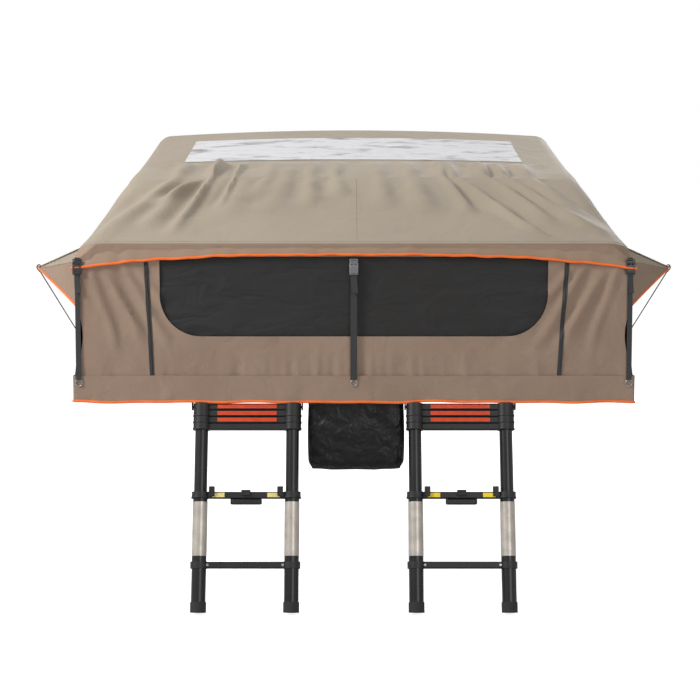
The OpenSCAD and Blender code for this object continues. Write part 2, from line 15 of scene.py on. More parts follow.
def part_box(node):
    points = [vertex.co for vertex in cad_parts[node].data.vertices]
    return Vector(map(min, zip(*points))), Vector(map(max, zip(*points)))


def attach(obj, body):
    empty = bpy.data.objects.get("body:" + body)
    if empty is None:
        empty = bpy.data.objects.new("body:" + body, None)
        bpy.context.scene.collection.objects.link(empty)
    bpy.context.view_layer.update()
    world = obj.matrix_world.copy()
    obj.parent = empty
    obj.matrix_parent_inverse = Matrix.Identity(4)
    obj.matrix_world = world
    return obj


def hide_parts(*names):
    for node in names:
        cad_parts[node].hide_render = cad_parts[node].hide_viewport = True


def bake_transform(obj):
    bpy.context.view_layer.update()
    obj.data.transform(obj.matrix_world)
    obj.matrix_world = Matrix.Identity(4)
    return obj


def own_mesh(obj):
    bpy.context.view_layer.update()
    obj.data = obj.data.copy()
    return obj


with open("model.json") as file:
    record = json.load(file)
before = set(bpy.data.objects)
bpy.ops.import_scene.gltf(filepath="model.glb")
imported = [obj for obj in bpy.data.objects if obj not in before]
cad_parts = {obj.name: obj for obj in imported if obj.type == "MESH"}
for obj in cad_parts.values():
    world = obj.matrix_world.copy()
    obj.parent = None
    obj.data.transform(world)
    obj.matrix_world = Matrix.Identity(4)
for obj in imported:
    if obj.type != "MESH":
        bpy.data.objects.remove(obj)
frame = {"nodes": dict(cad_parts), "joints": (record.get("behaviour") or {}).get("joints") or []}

LOG = logging.getLogger("roof_top_tent")
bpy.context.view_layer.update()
MM = 0.001
HINGE = np.array(next(j["pos_m"] for j in frame["joints"] if j["name"] == "fold"))
UV_NAME = "cloth_metres"
Piece = bpy.types.Object
Array = np.ndarray


def linear(colour: str) -> tuple[float, float, float, float]:
    """Turns an sRGB hex colour into linear RGBA.

    Args:
        colour: Six hex digits after a hash sign.

    Returns:
        The linear colour with full alpha.
    """
    parts = [int(colour[i : i + 2], 16) / 255 for i in (1, 3, 5)]
    low = [c / 12.92 if c <= 0.04045 else ((c + 0.055) / 1.055) ** 2.4 for c in parts]
    return (low[0], low[1], low[2], 1.0)


def add_node(
    tree: bpy.types.NodeTree,
    kind: str,
    settings: dict[str, object] | None = None,
    sockets: dict[str | int, object] | None = None,
) -> bpy.types.Node:
    """Adds a node to a tree, with its settings and links.

    Args:
        tree: The node tree.
        kind: The node's Blender type.
        settings: Attributes of the node.
        sockets: Input sockets by name or number, each with a value or an output to link.

    Returns:
        The new node.
    """
    node = tree.nodes.new(kind)
    for key, value in (settings or {}).items():
        setattr(node, key, value)
    for key, value in (sockets or {}).items():
        if isinstance(value, bpy.types.NodeSocket):
            tree.links.new(value, node.inputs[key])
        else:
            node.inputs[key].default_value = value
    return node


class Pattern(Enum):
    """What a finish's fine relief follows."""

    WEAVE = "weave"
    RIBS = "ribs"
    GRAIN = "grain"
    BRUSHED = "brushed"


@dataclass(frozen=True)
class Finish:
    """One surface: a named real material with its colours, gloss and fine relief.

    Attributes:
        name: What the material is and how it was made.
        colour: Its usual colour, as sRGB hex.
        wear_and_shade: The colour of its faded or dusty patches, and on the clear film the colour of its streaks of
            painted shade.
        roughness: Typical roughness of the material.
        metallic: 1 for a bare metal.
        patch: Size of the faded patches, in mm.
        pitch: Spacing of the fine relief, in mm.
        relief: Depth of the fine relief, in mm.
        crumple: Depth of small soft dents, in mm, spaced by crumple_pitch.
        crumple_pitch: Spacing of the dents, in mm.
        pattern: What the fine relief follows.
        sheen: Strength of the cloth's soft edge light.
        coat: Strength of a clear coat.
        gloss: Specular level, 0.5 for most materials.
        transmission: Share of light that goes through.
        spread: Noise levels between which the patches set in.
        stretch: How much longer patches and dents are along X.
    """

    name: str
    colour: str
    wear_and_shade: str
    roughness: float
    metallic: float = 0.0
    patch: float = 180.0
    pitch: float = 3.0
    relief: float = 0.15
    crumple: float = 0.0
    crumple_pitch: float = 45.0
    pattern: Pattern = Pattern.GRAIN
    sheen: float = 0.0
    coat: float = 0.0
    gloss: float = 0.5
    transmission: float = 0.0
    spread: tuple[float, float] = (0.35, 0.7)
    stretch: float = 1.0

    def material(self) -> bpy.types.Material:
        """Makes the material, or finds it where it exists.

        Returns:
            The material.
        """
        found = bpy.data.materials.get(self.name)
        if found:
            return found
        made = bpy.data.materials.new(self.name)
        made.use_nodes = True
        tree = made.node_tree
        shader = tree.nodes["Principled BSDF"]
        levels = {
            "Metallic": self.metallic, "Sheen Weight": self.sheen, "Coat Weight": self.coat,
            "Specular IOR Level": self.gloss, "Transmission Weight": self.transmission,
        }
        for socket, level in levels.items():
            shader.inputs[socket].default_value = level
        place = add_node(tree, "ShaderNodeTexCoord").outputs["Object"]
        if self.stretch != 1:
            size = (1 / self.stretch, 1.0, 1.0)
            place = add_node(tree, "ShaderNodeMapping", None, {"Vector": place, "Scale": size}).outputs["Vector"]
        noise = {"Vector": place, "Scale": 1 / (self.patch * MM), "Detail": 4.0}
        patches = add_node(tree, "ShaderNodeTexNoise", None, noise).outputs["Fac"]
        span = {"Value": patches, "From Min": self.spread[0], "From Max": self.spread[1]}
        share = add_node(tree, "ShaderNodeMapRange", None, span).outputs["Result"]
        tones = {0: share, 6: linear(self.colour), 7: linear(self.wear_and_shade)}
        colour = add_node(tree, "ShaderNodeMix", {"data_type": "RGBA"}, tones).outputs[2]
        tree.links.new(colour, shader.inputs["Base Color"])
        span = {"Value": patches, "To Min": self.roughness * 0.85, "To Max": min(1.0, self.roughness * 1.15)}
        gloss = add_node(tree, "ShaderNodeMapRange", None, span).outputs["Result"]
        tree.links.new(gloss, shader.inputs["Roughness"])
        tree.links.new(self._relief(tree, place), shader.inputs["Normal"])
        return made

    def _relief(self, tree: bpy.types.NodeTree, place: bpy.types.NodeSocket) -> bpy.types.NodeSocket:
        """Adds the fine relief and the soft dents.

        Args:
            tree: The material's tree.
            place: Object coordinates.

        Returns:
            The bumped normal.
        """
        bump = {"Height": self._fine_height(tree, place), "Distance": self.relief * MM, "Strength": 1.0}
        normal = add_node(tree, "ShaderNodeBump", None, bump).outputs["Normal"]
        if not self.crumple:
            return normal
        noise = {"Vector": place, "Scale": 1 / (self.crumple_pitch * MM), "Detail": 3.0, "Distortion": 0.6}
        dents = add_node(tree, "ShaderNodeTexNoise", None, noise).outputs["Fac"]
        bump = {"Height": dents, "Distance": self.crumple * MM, "Strength": 1.0, "Normal": normal}
        return add_node(tree, "ShaderNodeBump", None, bump).outputs["Normal"]

    def _fine_height(self, tree: bpy.types.NodeTree, place: bpy.types.NodeSocket) -> bpy.types.NodeSocket:
        """Adds the pattern of threads, ribs, grain or brushing.

        Args:
            tree: The material's tree.
            place: Object coordinates.

        Returns:
            The height of the pattern.
        """
        scale = 1 / (self.pitch * MM)
        if self.pattern is Pattern.BRUSHED:
            drawn = {"Vector": place, "Scale": (scale, scale, scale / 40)}
            place, scale = add_node(tree, "ShaderNodeMapping", None, drawn).outputs["Vector"], 1.0
        if self.pattern in (Pattern.GRAIN, Pattern.BRUSHED):
            noise = {"Vector": place, "Scale": scale, "Detail": 2.0}
            return add_node(tree, "ShaderNodeTexNoise", None, noise).outputs["Fac"]
        cloth = add_node(tree, "ShaderNodeUVMap", {"uv_map": UV_NAME}).outputs["UV"]
        # A wave texture's bands are 2 pi / 20 of a unit apart at scale 1.
        threads = {"Vector": cloth, "Scale": scale * math.pi / 10, "Distortion": 0.4, "Detail": 1.0}
        across = add_node(tree, "ShaderNodeTexWave", {"bands_direction": "Y"}, threads).outputs["Fac"]
        if self.pattern is Pattern.RIBS:
            return across
        along = add_node(tree, "ShaderNodeTexWave", {"bands_direction": "X"}, threads).outputs["Fac"]
        return add_node(tree, "ShaderNodeMath", {"operation": "MULTIPLY"}, {0: along, 1: across}).outputs["Value"]


# Polyester canvas: matt, with dusty fading and threads drawn coarser than the real 0.6 mm so that they show.
FLY_CLOTH = Finish(
    "khaki_polyester_canvas", "#978A78", "#A29583", 0.66,
    patch=420, pitch=2.4, relief=0.12, crumple=7.0, crumple_pitch=110, pattern=Pattern.WEAVE, sheen=0.15,
)
WALL_CLOTH = Finish(
    "taupe_polycotton_canvas", "#8B7463", "#96806E", 0.8,
    patch=380, pitch=2.4, relief=0.14, crumple=7.0, crumple_pitch=110, pattern=Pattern.WEAVE, sheen=0.1,
)
# Coated hem tape: the same taupe, a little darker and smoother.
HEM_CLOTH = Finish(
    "taupe_hem_tape", "#927A66", "#9B8470", 0.7,
    patch=300, pitch=2.4, relief=0.08, crumple=1.6, crumple_pitch=60, pattern=Pattern.WEAVE,
)
# PVC-covered piping cord: bright, satin, slightly dirty.
PIPING = Finish("orange_pvc_piping", "#F4741F", "#E8641A", 0.5, patch=90, pitch=2.0, relief=0.05, sheen=0.1)
# Knitted insect mesh: black threads drawn at 3 mm, far coarser than real, so that they show.
MESH = Finish(
    "black_insect_mesh", "#0F0E0E", "#1B1918", 0.8,
    patch=200, pitch=3.0, relief=0.25, crumple=16.0, crumple_pitch=90, stretch=2.2, pattern=Pattern.WEAVE,
    sheen=0.05,
)
# Clear vinyl film: glossy. Its pale colour is partly a milky haze and partly painted reflection of the white
# surround; its dark brown streaks are painted shade, where the clear film shows the dark inside.
FILM = Finish(
    "clear_vinyl_film", "#D8D8DC", "#5A493F", 0.16,
    patch=55, pitch=6.0, relief=0.15, crumple=9.0, crumple_pitch=45, coat=0.5, transmission=0.1,
    spread=(0.52, 0.7), stretch=3.5,
)
# Polypropylene webbing: ribbed across, slightly glossy.
WEBBING = Finish(
    "black_polypropylene_webbing", "#171717", "#212121", 0.62,
    patch=60, pitch=4.0, relief=0.4, pattern=Pattern.RIBS, sheen=0.1,
)
# Coated nylon: black with sharp highlights on its wrinkles.
NYLON = Finish(
    "black_coated_nylon", "#050506", "#090909", 0.4,
    patch=120, pitch=2.0, relief=0.05, crumple=16.0, crumple_pitch=60, pattern=Pattern.WEAVE, gloss=0.25,
)
# Acetal mouldings: dark, with a fine spark-eroded grain.
ACETAL = Finish("black_moulded_acetal", "#242527", "#2E2F31", 0.4, patch=20, pitch=0.8, relief=0.03)
ACETAL_GREY = Finish("grey_moulded_acetal", "#6A6C6F", "#77797C", 0.38, patch=20, pitch=0.8, relief=0.03)
# Glass-filled nylon rung ends and collars.
MOULDED_BLACK = Finish(
    "black_glass_filled_nylon", "#131313", "#1B1B1C", 0.48, patch=45, pitch=1.4, relief=0.05, gloss=0.35,
)
# Anodised tube: drawn lines along its length and a soft sheen.
ANODISED = Finish(
    "black_anodised_aluminium", "#101010", "#181819", 0.3,
    metallic=0.3, patch=140, pitch=1.6, relief=0.02, pattern=Pattern.BRUSHED, coat=0.1, gloss=0.35,
)
BARE_ALUMINIUM = Finish(
    "mill_finish_aluminium", "#B9BCC0", "#A7AAAE", 0.38,
    metallic=1.0, patch=160, pitch=1.6, relief=0.02, pattern=Pattern.BRUSHED,
)
# Plated and oiled steel: small bright spots and dull ones.
ZINC_STEEL = Finish("zinc_plated_steel", "#9A9DA1", "#85888C", 0.35, metallic=1.0, patch=40, pitch=1.2, relief=0.02)
SPRING_STEEL = Finish(
    "dark_spring_steel", "#4A4C4F", "#5A5C5F", 0.35, metallic=0.8, patch=60, pitch=1.0, relief=0.02,
)
FLOOR_PANEL = Finish("laminated_honeycomb_panel", "#8B8D8E", "#9A9C9D", 0.5, patch=220, pitch=5.0, relief=0.08)
# Soft mouldings and printed films of the ladders.
GRIP_ORANGE = Finish("orange_moulded_grip", "#D8481B", "#C73F17", 0.5, patch=35, pitch=1.2, relief=0.06)
RUBBER = Finish("black_moulded_rubber", "#161616", "#202020", 0.8, patch=30, pitch=1.5, relief=0.1)
LABEL_FOIL = Finish(
    "brushed_foil_label", "#B7B0A7", "#A29A91", 0.34, metallic=0.35, patch=50, pitch=1.0, relief=0.01,
)
STICKER_PALE = Finish("faded_vinyl_sticker", "#E6D68B", "#D9C878", 0.45, patch=15, pitch=1.0, relief=0.01)
STICKER_BRIGHT = Finish("yellow_vinyl_sticker", "#F0D31C", "#E4C514", 0.42, patch=15, pitch=1.0, relief=0.01)
MATTRESS_CLOTH = Finish(
    "grey_polyester_ticking", "#A9A7A0", "#B3B1AA", 0.85,
    patch=160, pitch=3.0, relief=0.2, crumple=2.5, crumple_pitch=60, pattern=Pattern.GRAIN, sheen=0.2,
)


def choose(*objs: Piece) -> None:
    """Selects objects alone, with the first one active.

    Args:
        objs: The objects.
    """
    if bpy.context.mode != "OBJECT":
        bpy.ops.object.mode_set(mode="OBJECT")
    bpy.ops.object.select_all(action="DESELECT")
    for obj in objs:
        obj.select_set(True)
    bpy.context.view_layer.objects.active = objs[0]


def apply_modifier(obj: Piece, kind: str, **settings: object) -> None:
    """Adds a modifier to an object and applies it.

    Args:
        obj: The object.
        kind: The modifier's Blender type.
        settings: Its attributes.
    """
    choose(obj)
    modifier = obj.modifiers.new(kind.title(), kind)
    for key, value in settings.items():
        setattr(modifier, key, value)
    bpy.ops.object.modifier_apply(modifier=modifier.name)


def dress(obj: Piece, finish: Finish, angle: float = 40.0) -> Piece:
    """Gives an object its finish and smooth shading.

    Args:
        obj: The object.
        finish: Its finish.
        angle: Edges up to this angle, in degrees, look smooth.

    Returns:
        The object.
    """
    obj.data.materials.clear()
    obj.data.materials.append(finish.material())
    choose(obj)
    bpy.ops.object.shade_smooth_by_angle(angle=math.radians(angle))
    return obj


def stepped(points: Array, axis: int) -> Array:
    """Adds up the mean spacing of a grid's points along one axis, from 0."""
    steps = np.linalg.norm(np.diff(points, axis=axis), axis=2).mean(axis=1 - axis)
    return np.concatenate([[0], np.cumsum(steps)])


def lengths(points: Array) -> Array:
    """Adds up the distances along a line of points, from 0."""
    return np.concatenate([[0], np.cumsum(np.linalg.norm(np.diff(points, axis=0), axis=1))])


def cloth_piece(
    name: str,
    grids: Sequence[Array],
    finish: Finish,
    thickness: float = 2 * MM,
    opening: Array | None = None,
) -> Piece:
    """Makes a closed sheet of cloth from grids of points, with its UV map in metres.

    Args:
        name: The piece's name.
        grids: Arrays of rows by columns by 3, in metres.
        finish: The cloth.
        thickness: The cloth's thickness.
        opening: Faces of the first grid that are cut out, by row and column.

    Returns:
        The dressed sheet.
    """
    verts, faces, uv = [], [], []
    for number, grid in enumerate(grids):
        rows, cols = grid.shape[:2]
        first = len(verts)
        verts += grid.reshape(-1, 3).tolist()
        across, down = stepped(grid, 1), stepped(grid, 0)
        uv += [(across[j], down[i]) for i in range(rows) for j in range(cols)]
        faces += [
            tuple(first + k for k in (i * cols + j, i * cols + j + 1, (i + 1) * cols + j + 1, (i + 1) * cols + j))
            for i in range(rows - 1)
            for j in range(cols - 1)
            if number or opening is None or not opening[i, j]
        ]
    mesh = bpy.data.meshes.new(name)
    mesh.from_pydata(verts, [], faces)
    layer = mesh.uv_layers.new(name=UV_NAME)
    for loop in mesh.loops:
        layer.data[loop.index].uv = uv[loop.vertex_index]
    obj = bpy.data.objects.new(name, mesh)
    bpy.context.scene.collection.objects.link(obj)
    choose(obj)
    bpy.ops.object.mode_set(mode="EDIT")
    bpy.ops.mesh.select_all(action="SELECT")
    bpy.ops.mesh.delete_loose()
    bpy.ops.mesh.select_all(action="SELECT")
    bpy.ops.mesh.remove_doubles(threshold=0.05 * MM)
    bpy.ops.mesh.normals_make_consistent(inside=False)
    bpy.ops.object.mode_set(mode="OBJECT")
    apply_modifier(obj, "SOLIDIFY", thickness=thickness, offset=0.0, use_rim=True)
    return dress(obj, finish, 50)


def tube_piece(name: str, lines: Sequence[Array], radius: float, finish: Finish) -> Piece:
    """Makes round cord along open lines, with rounded ends, as one mesh.

    Args:
        name: The piece's name.
        lines: Rows of points in metres.
        radius: The cord's radius.
        finish: Its surface.

    Returns:
        The dressed cord.
    """
    curve = bpy.data.curves.new(name, "CURVE")
    curve.dimensions = "3D"
    curve.bevel_depth = radius
    curve.bevel_resolution = 3
    curve.use_fill_caps = True
    for line in lines:
        spline = curve.splines.new("POLY")
        spline.points.add(len(line) - 1)
        spline.points.foreach_set("co", np.c_[line, np.ones(len(line))].ravel())
    obj = bpy.data.objects.new(name, curve)
    bpy.context.scene.collection.objects.link(obj)
    choose(obj)
    bpy.ops.object.convert(target="MESH")
    return dress(obj, finish, 60)


def normals(grid: Array) -> Array:
    """Works out the unit normal at each point of a grid."""
    n = np.cross(np.gradient(grid, axis=0), np.gradient(grid, axis=1))
    return n / np.maximum(np.linalg.norm(n, axis=2, keepdims=True), 1e-9)


def grid_of(x: Array, y: Array, z: Array) -> Array:
    """Makes a grid of points from coordinates that fit together by broadcasting."""
    return np.stack(np.broadcast_arrays(x, y, z), axis=-1)


def smooth(x: Array, low: float, high: float) -> Array:
    """Rises smoothly from 0 at low to 1 at high."""
    t = np.clip((x - low) / (high - low), 0, 1)
    return t * t * (3 - 2 * t)


@dataclass(frozen=True)
class Bow:
    """One tent bow and the line of the cloth over it.

    Attributes:
        node: The bow's node, which is its body too.
        phi: Angle about the hinge line, in degrees from the rear.
        x: Place of the leg's axis.
        reach: Distance from the hinge line to the crossbar's axis.
        TUBE: Radius of the tube.
        EYE: Half width of the eye on the hinge pin.
        BEND: Bend radius of the tube.
        LOW_REACH: Reach at which the cloth starts on the leg.
        LEG_SHARE: Share of half the cloth's line that lies on the leg.
        BEND_SHARE: Share that lies on the bend.
        CROWN: How far the cloth arches over the ridge.
        WIDE: How far the cloth stands outside the upper bows' legs.
        STEEP: Sine of the angle from which a bow counts as an upper one, fully so when it is STEEP_OVER more.
        SHARPER: How much sharper than the tube the cloth bends over an upper bow.
    """

    node: str
    phi: float
    x: float
    reach: float

    TUBE = 10 * MM
    EYE = 11.5 * MM
    BEND = 110 * MM
    LOW_REACH = 110 * MM
    LEG_SHARE = 0.36
    BEND_SHARE = 0.12
    CROWN = 28 * MM
    WIDE = 30 * MM
    STEEP = 0.4
    STEEP_OVER = 0.3
    SHARPER = 0.4

    @classmethod
    def on_frame(cls, node: str) -> "Bow":
        """Reads a bow's angle and sizes from its node's box.

        Args:
            node: The bow's node.

        Returns:
            The bow.
        """
        low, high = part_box(node)
        ahead, behind = low.y + cls.TUBE - HINGE[1], high.y - cls.TUBE - HINGE[1]
        y = ahead if abs(ahead) > abs(behind) else behind
        y = y if abs(y) > cls.EYE else 0.0
        z = high.z - cls.TUBE - HINGE[2]
        return cls(node, math.degrees(math.atan2(z, y)), high.x - cls.EYE, math.hypot(y, z))

    def corner(self) -> tuple[float, float]:
        """Gives the X and bend radius of the cloth's line, which is wider and sharper over the upper bows."""
        upper = min(1.0, max(0.0, math.sin(math.radians(self.phi)) - self.STEEP) / self.STEEP_OVER)
        return self.x + self.WIDE * upper, self.BEND * (1 - self.SHARPER * upper)

    def cloth_x(self, reach: float) -> float:
        """Gives the X of the cloth on the bow's leg or bend.

        Args:
            reach: Distance from the hinge line.

        Returns:
            The X.
        """
        x0, rb = (value + PANEL_SEAT for value in self.corner())
        up = reach - (self.reach + PANEL_SEAT - rb)
        return x0 if up <= 0 else x0 - rb + math.sqrt(max(rb * rb - up * up, 0.0))

    def flat(self) -> float:
        """Gives the half width of the cloth's straight top."""
        x0, rb = self.corner()
        return x0 - rb

    def outline(self, s: Array, off: float) -> tuple[Array, Array]:
        """Gives the X and reach of points along the bow, offset outwards.

        Args:
            s: Shares from -1 at one leg's foot to 1 at the other's.
            off: The offset.

        Returns:
            The points' X and their reach.
        """
        h = 1 - np.abs(s)
        x0, rb = self.corner()
        x0, reach, rb = x0 + off, self.reach + off, rb + off
        bend_end = self.LEG_SHARE + self.BEND_SHARE
        turn = np.clip((h - self.LEG_SHARE) / self.BEND_SHARE, 0, 1) * math.pi / 2
        flat = np.clip((h - bend_end) / (1 - bend_end), 0, 1)
        x = np.where(h < bend_end, x0 - rb + rb * np.cos(turn), (x0 - rb) * (1 - flat))
        leg = self.LOW_REACH + (reach - rb - self.LOW_REACH) * np.clip(h / self.LEG_SHARE, 0, 1)
        # The cloth crowns over the upper crossbars, most of all at the ridge.
        crown = self.CROWN * max(0.0, math.sin(math.radians(self.phi)) - self.STEEP) / (1 - self.STEEP)
        reach = reach + crown * np.clip(1 - (x / (x0 - rb)) ** 2, 0, 1)
        return np.sign(s) * x, np.where(h < self.LEG_SHARE, leg, reach - rb + rb * np.sin(turn))


def polar(phi: float | Array, x: Array, reach: Array) -> Array:
    """Turns an angle about the hinge, an X and a reach into points."""
    a = np.radians(phi)
    return grid_of(x, HINGE[1] + reach * np.cos(a), HINGE[2] + reach * np.sin(a))


def follow_angle(obj: Piece, phi_a: float, phi_b: float, reach: float = 1.0) -> None:
    """Bakes a finished piece's transform and works out each point's angle about the hinge line.

    Args:
        obj: The finished piece.
        phi_a: The first angle, in degrees from the rear.
        phi_b: The second angle.
        reach: Where along the fan the two angles are taken.
    """
    start, end = (polar(p, np.array(0.0), np.array(reach)) for p in (phi_a, phi_b))
    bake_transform(obj)
    place = np.empty(len(obj.data.vertices) * 3)
    obj.data.vertices.foreach_get("co", place)
    place = place.reshape(-1, 3) - HINGE
    phi = np.degrees(np.arctan2(place[:, 2], place[:, 1]))
    phi = np.where(phi < -90, phi + 360, phi)


# Cloth of the walls lies this far from a bow's axis, just clear of the tube.
CLOTH_SEAT = Bow.TUBE + 1.3 * MM
# The fly lies further out at every bow, so that two panels that slope away from it clear the tube and meet in a seam.
PANEL_SEAT = 15.5 * MM
BOWS = EAVE_REAR, MID_REAR, RIDGE, MID_FRONT, EAVE_FRONT = tuple(
    Bow.on_frame(node) for node in ("rear_eave_bow", "rear_mid_bow", "ridge_bow", "front_mid_bow", "front_eave_bow")
)


def stretched(a: Bow, b: Bow, s: Array, t: Array, lift: float = 0.0) -> Array:
    """Stretches a grid of cloth between two bows.

    Args:
        a: The first bow.
        b: The second bow.
        s: Shares along the bows.
        t: Shares of the way from a to b.
        lift: Distance outside the cloth's own seat.

    Returns:
        Points by t and s.
    """
    (xa, ra), (xb, rb) = a.outline(s, PANEL_SEAT + lift), b.outline(s, PANEL_SEAT + lift)
    pa, pb = polar(a.phi, xa, ra), polar(b.phi, xb, rb)
    t = t[:, None]
    grid = pa + (pb - pa) * t[..., None]
    # Near the hinge the cloth passes the wider bow's leg before it draws in.
    low = 1 - np.clip((1 - np.abs(s)) / Bow.LEG_SHARE, 0, 1)
    inwards = a.x > b.x
    draw = np.power(t if inwards else 1 - t, 1 + 1.3 * low)
    grid[..., 0] = xa + (xb - xa) * (draw if inwards else 1 - draw)
    return grid


@dataclass(frozen=True)
class Fold:
    """A soft fold that runs across a panel and fades out.

    Attributes:
        start: X in mm and share of the panel's run where it starts.
        end: The same where it ends.
        width: Half width of its crest, in mm.
        height: Height of its crest, in mm.
        SPREAD: Its width where it starts and how much it widens, as shares of the half width.
        FADE: Its strength where it starts, what it gains, and the shares of its run where it has that and then fades.
        HOLLOW: Depth, distance and width of the hollow beside it, as shares of the crest's.
    """

    start: tuple[float, float]
    end: tuple[float, float]
    width: float
    height: float

    SPREAD = (0.95, 1.1)
    FADE = (0.55, 0.45, 0.3, 0.62)
    HOLLOW = (0.35, 1.7, 1.3)

    def lift(self, x: Array, t: Array) -> Array:
        """Gives the fold's height over a panel: a crest that widens and fades, with a hollow beside it.

        Args:
            x: Places along the panel's front bow, in metres from the middle.
            t: Shares of the panel's run.

        Returns:
            The height at each place, in metres.
        """
        run = np.clip((t - self.start[1]) / (self.end[1] - self.start[1]), 0, 1)
        past = (t - self.start[1]) * (self.end[1] - self.start[1]) < 0
        line = (self.start[0] + (self.end[0] - self.start[0]) * run) * MM
        side = math.copysign(1.0, self.start[0])
        width = self.width * MM * (self.SPREAD[0] + self.SPREAD[1] * run)
        d = (x - line) / width * side
        first, gain, full, fall = self.FADE
        fade = (first + gain * smooth(run, 0.0, full)) * (1 - smooth(run, fall, 1.0)) * ~past
        deep, beside, wide = self.HOLLOW
        return self.height * MM * fade * (np.exp(-d * d) - deep * np.exp(-(((d - beside) / wide) ** 2)))


class FlyFolds:
    """The folds of the fly, panel by panel.

    Attributes:
        FRONT: The front slope's folds, given one by one.
        JITTER: How far a drawn fold may stand from its even place, in mm.
    """

    JITTER = 60
    FRONT = [
        Fold((-706, 1.0), (-800, 0.06), 17, 9), Fold((-730, 1.0), (-945, 0.5), 26, 8),
        Fold((-594, 1.0), (-622, 0.48), 12, 7), Fold((-885, 1.0), (-1110, 0.02), 34, 9),
        Fold((-812, 0.9), (-935, 0.15), 28, 7), Fold((-425, 1.0), (-470, 0.62), 30, 6),
        Fold((-216, 1.0), (-196, 0.5), 30, 6), Fold((-90, 1.0), (-50, 0.66), 26, 6),
        Fold((-330, 1.0), (-380, 0.4), 44, 6), Fold((-520, 0.95), (-590, 0.3), 40, 6),
        Fold((130, 1.0), (150, 0.45), 34, 5), Fold((290, 1.0), (350, 0.4), 36, 6),
        Fold((448, 1.0), (550, 0.38), 20, 8), Fold((503, 1.0), (755, 0.28), 24, 9),
        Fold((663, 1.0), (920, 0.22), 24, 10), Fold((755, 1.0), (1088, 0.06), 24, 10),
        Fold((610, 0.62), (855, 0.02), 20, 8), Fold((885, 1.0), (1115, 0.08), 30, 7),
    ]

    @classmethod
    def over_the_bow(cls, ratio: float, run: float) -> list[Fold]:
        """Carries the front folds on over the front mid bow, up to the skylight.

        Args:
            ratio: The mid bow's width as a share of the eave bow's.
            run: Share of the upper panel's run where they end.

        Returns:
            The folds of the upper panel.
        """
        tops = [fold for fold in cls.FRONT if fold.start[1] == 1.0]
        return [
            Fold((f.start[0] * ratio, 0.0), (f.start[0] * ratio * 0.97, run), f.width * ratio, f.height) for f in tops
        ]

    @staticmethod
    def fan(seed: int, half: float, count: int, height: float) -> list[Fold]:
        """Spreads folds over a panel that the photograph doesn't show.

        Args:
            seed: Seed of the draw.
            half: The panel's half width, in mm.
            count: The number of folds.
            height: Their usual height, in mm.

        Returns:
            The folds.
        """
        draw = np.random.default_rng(seed)
        folds = []
        for x in np.linspace(-half, half, count) + draw.uniform(-FlyFolds.JITTER, FlyFolds.JITTER, count):
            up = draw.random() < 0.6
            first, last = (1.0, draw.uniform(0.15, 0.6)) if up else (0.0, draw.uniform(0.4, 0.8))
            out = x * (1 + draw.uniform(0.05, 0.28))
            folds.append(Fold((x, first), (out, last), draw.uniform(16, 38), height * draw.uniform(0.6, 1.2)))
        return folds


@dataclass(frozen=True)
class Awning:
    """The side awning's seam and hem on a bow's plane.

    Attributes:
        seam: Reach of the seam on the side cloth.
        tip_x: X of the hem.
        hem: Reach of the hem.
        EAVE_UP: Height of the hem over the hinge line at an eave; MID_UP and RIDGE_UP are those at the other bows.
        SEAM_UP: Height of the seam at the mid bows and the ridge.
        EAVE_SEAM_IN: How far the seam lies below an eave bow's crossbar.
        TIP_INSET: How far the tips at the eaves stand inside the fly's box.
        MID_INSET: How far the hem stands inside the tips at the mid bows; RIDGE_INSET is that at the ridge.
        BELLY: How far the cloth hangs in halfway out; DROOP and DRAW_IN are how far the hem hangs and draws in.
        WAVE: Height of its waves.
    """

    seam: float
    tip_x: float
    hem: float

    EAVE_UP = 385 * MM
    MID_UP = 350 * MM
    RIDGE_UP = 340 * MM
    SEAM_UP = 490 * MM
    EAVE_SEAM_IN = 25 * MM
    TIP_INSET = 1 * MM
    MID_INSET = 40 * MM
    RIDGE_INSET = 60 * MM
    BELLY = 14 * MM
    DROOP = 10 * MM
    DRAW_IN = 24 * MM
    WAVE = 3 * MM

    @classmethod
    def on_bow(cls, bow: Bow) -> "Awning":
        """Works out the awning's seam and hem at a bow.

        Args:
            bow: The bow.

        Returns:
            The seam and hem on its plane.
        """
        rise = math.sin(math.radians(bow.phi))
        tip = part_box("fly_front")[1].x - cls.TIP_INSET
        if abs(bow.phi - 90) < 1:
            return cls(cls.SEAM_UP, tip - cls.RIDGE_INSET, cls.RIDGE_UP)
        if rise > 0.6:
            return cls(cls.SEAM_UP / rise, tip - cls.MID_INSET, cls.MID_UP / rise)
        return cls(bow.reach - cls.EAVE_SEAM_IN, tip, cls.EAVE_UP / rise)


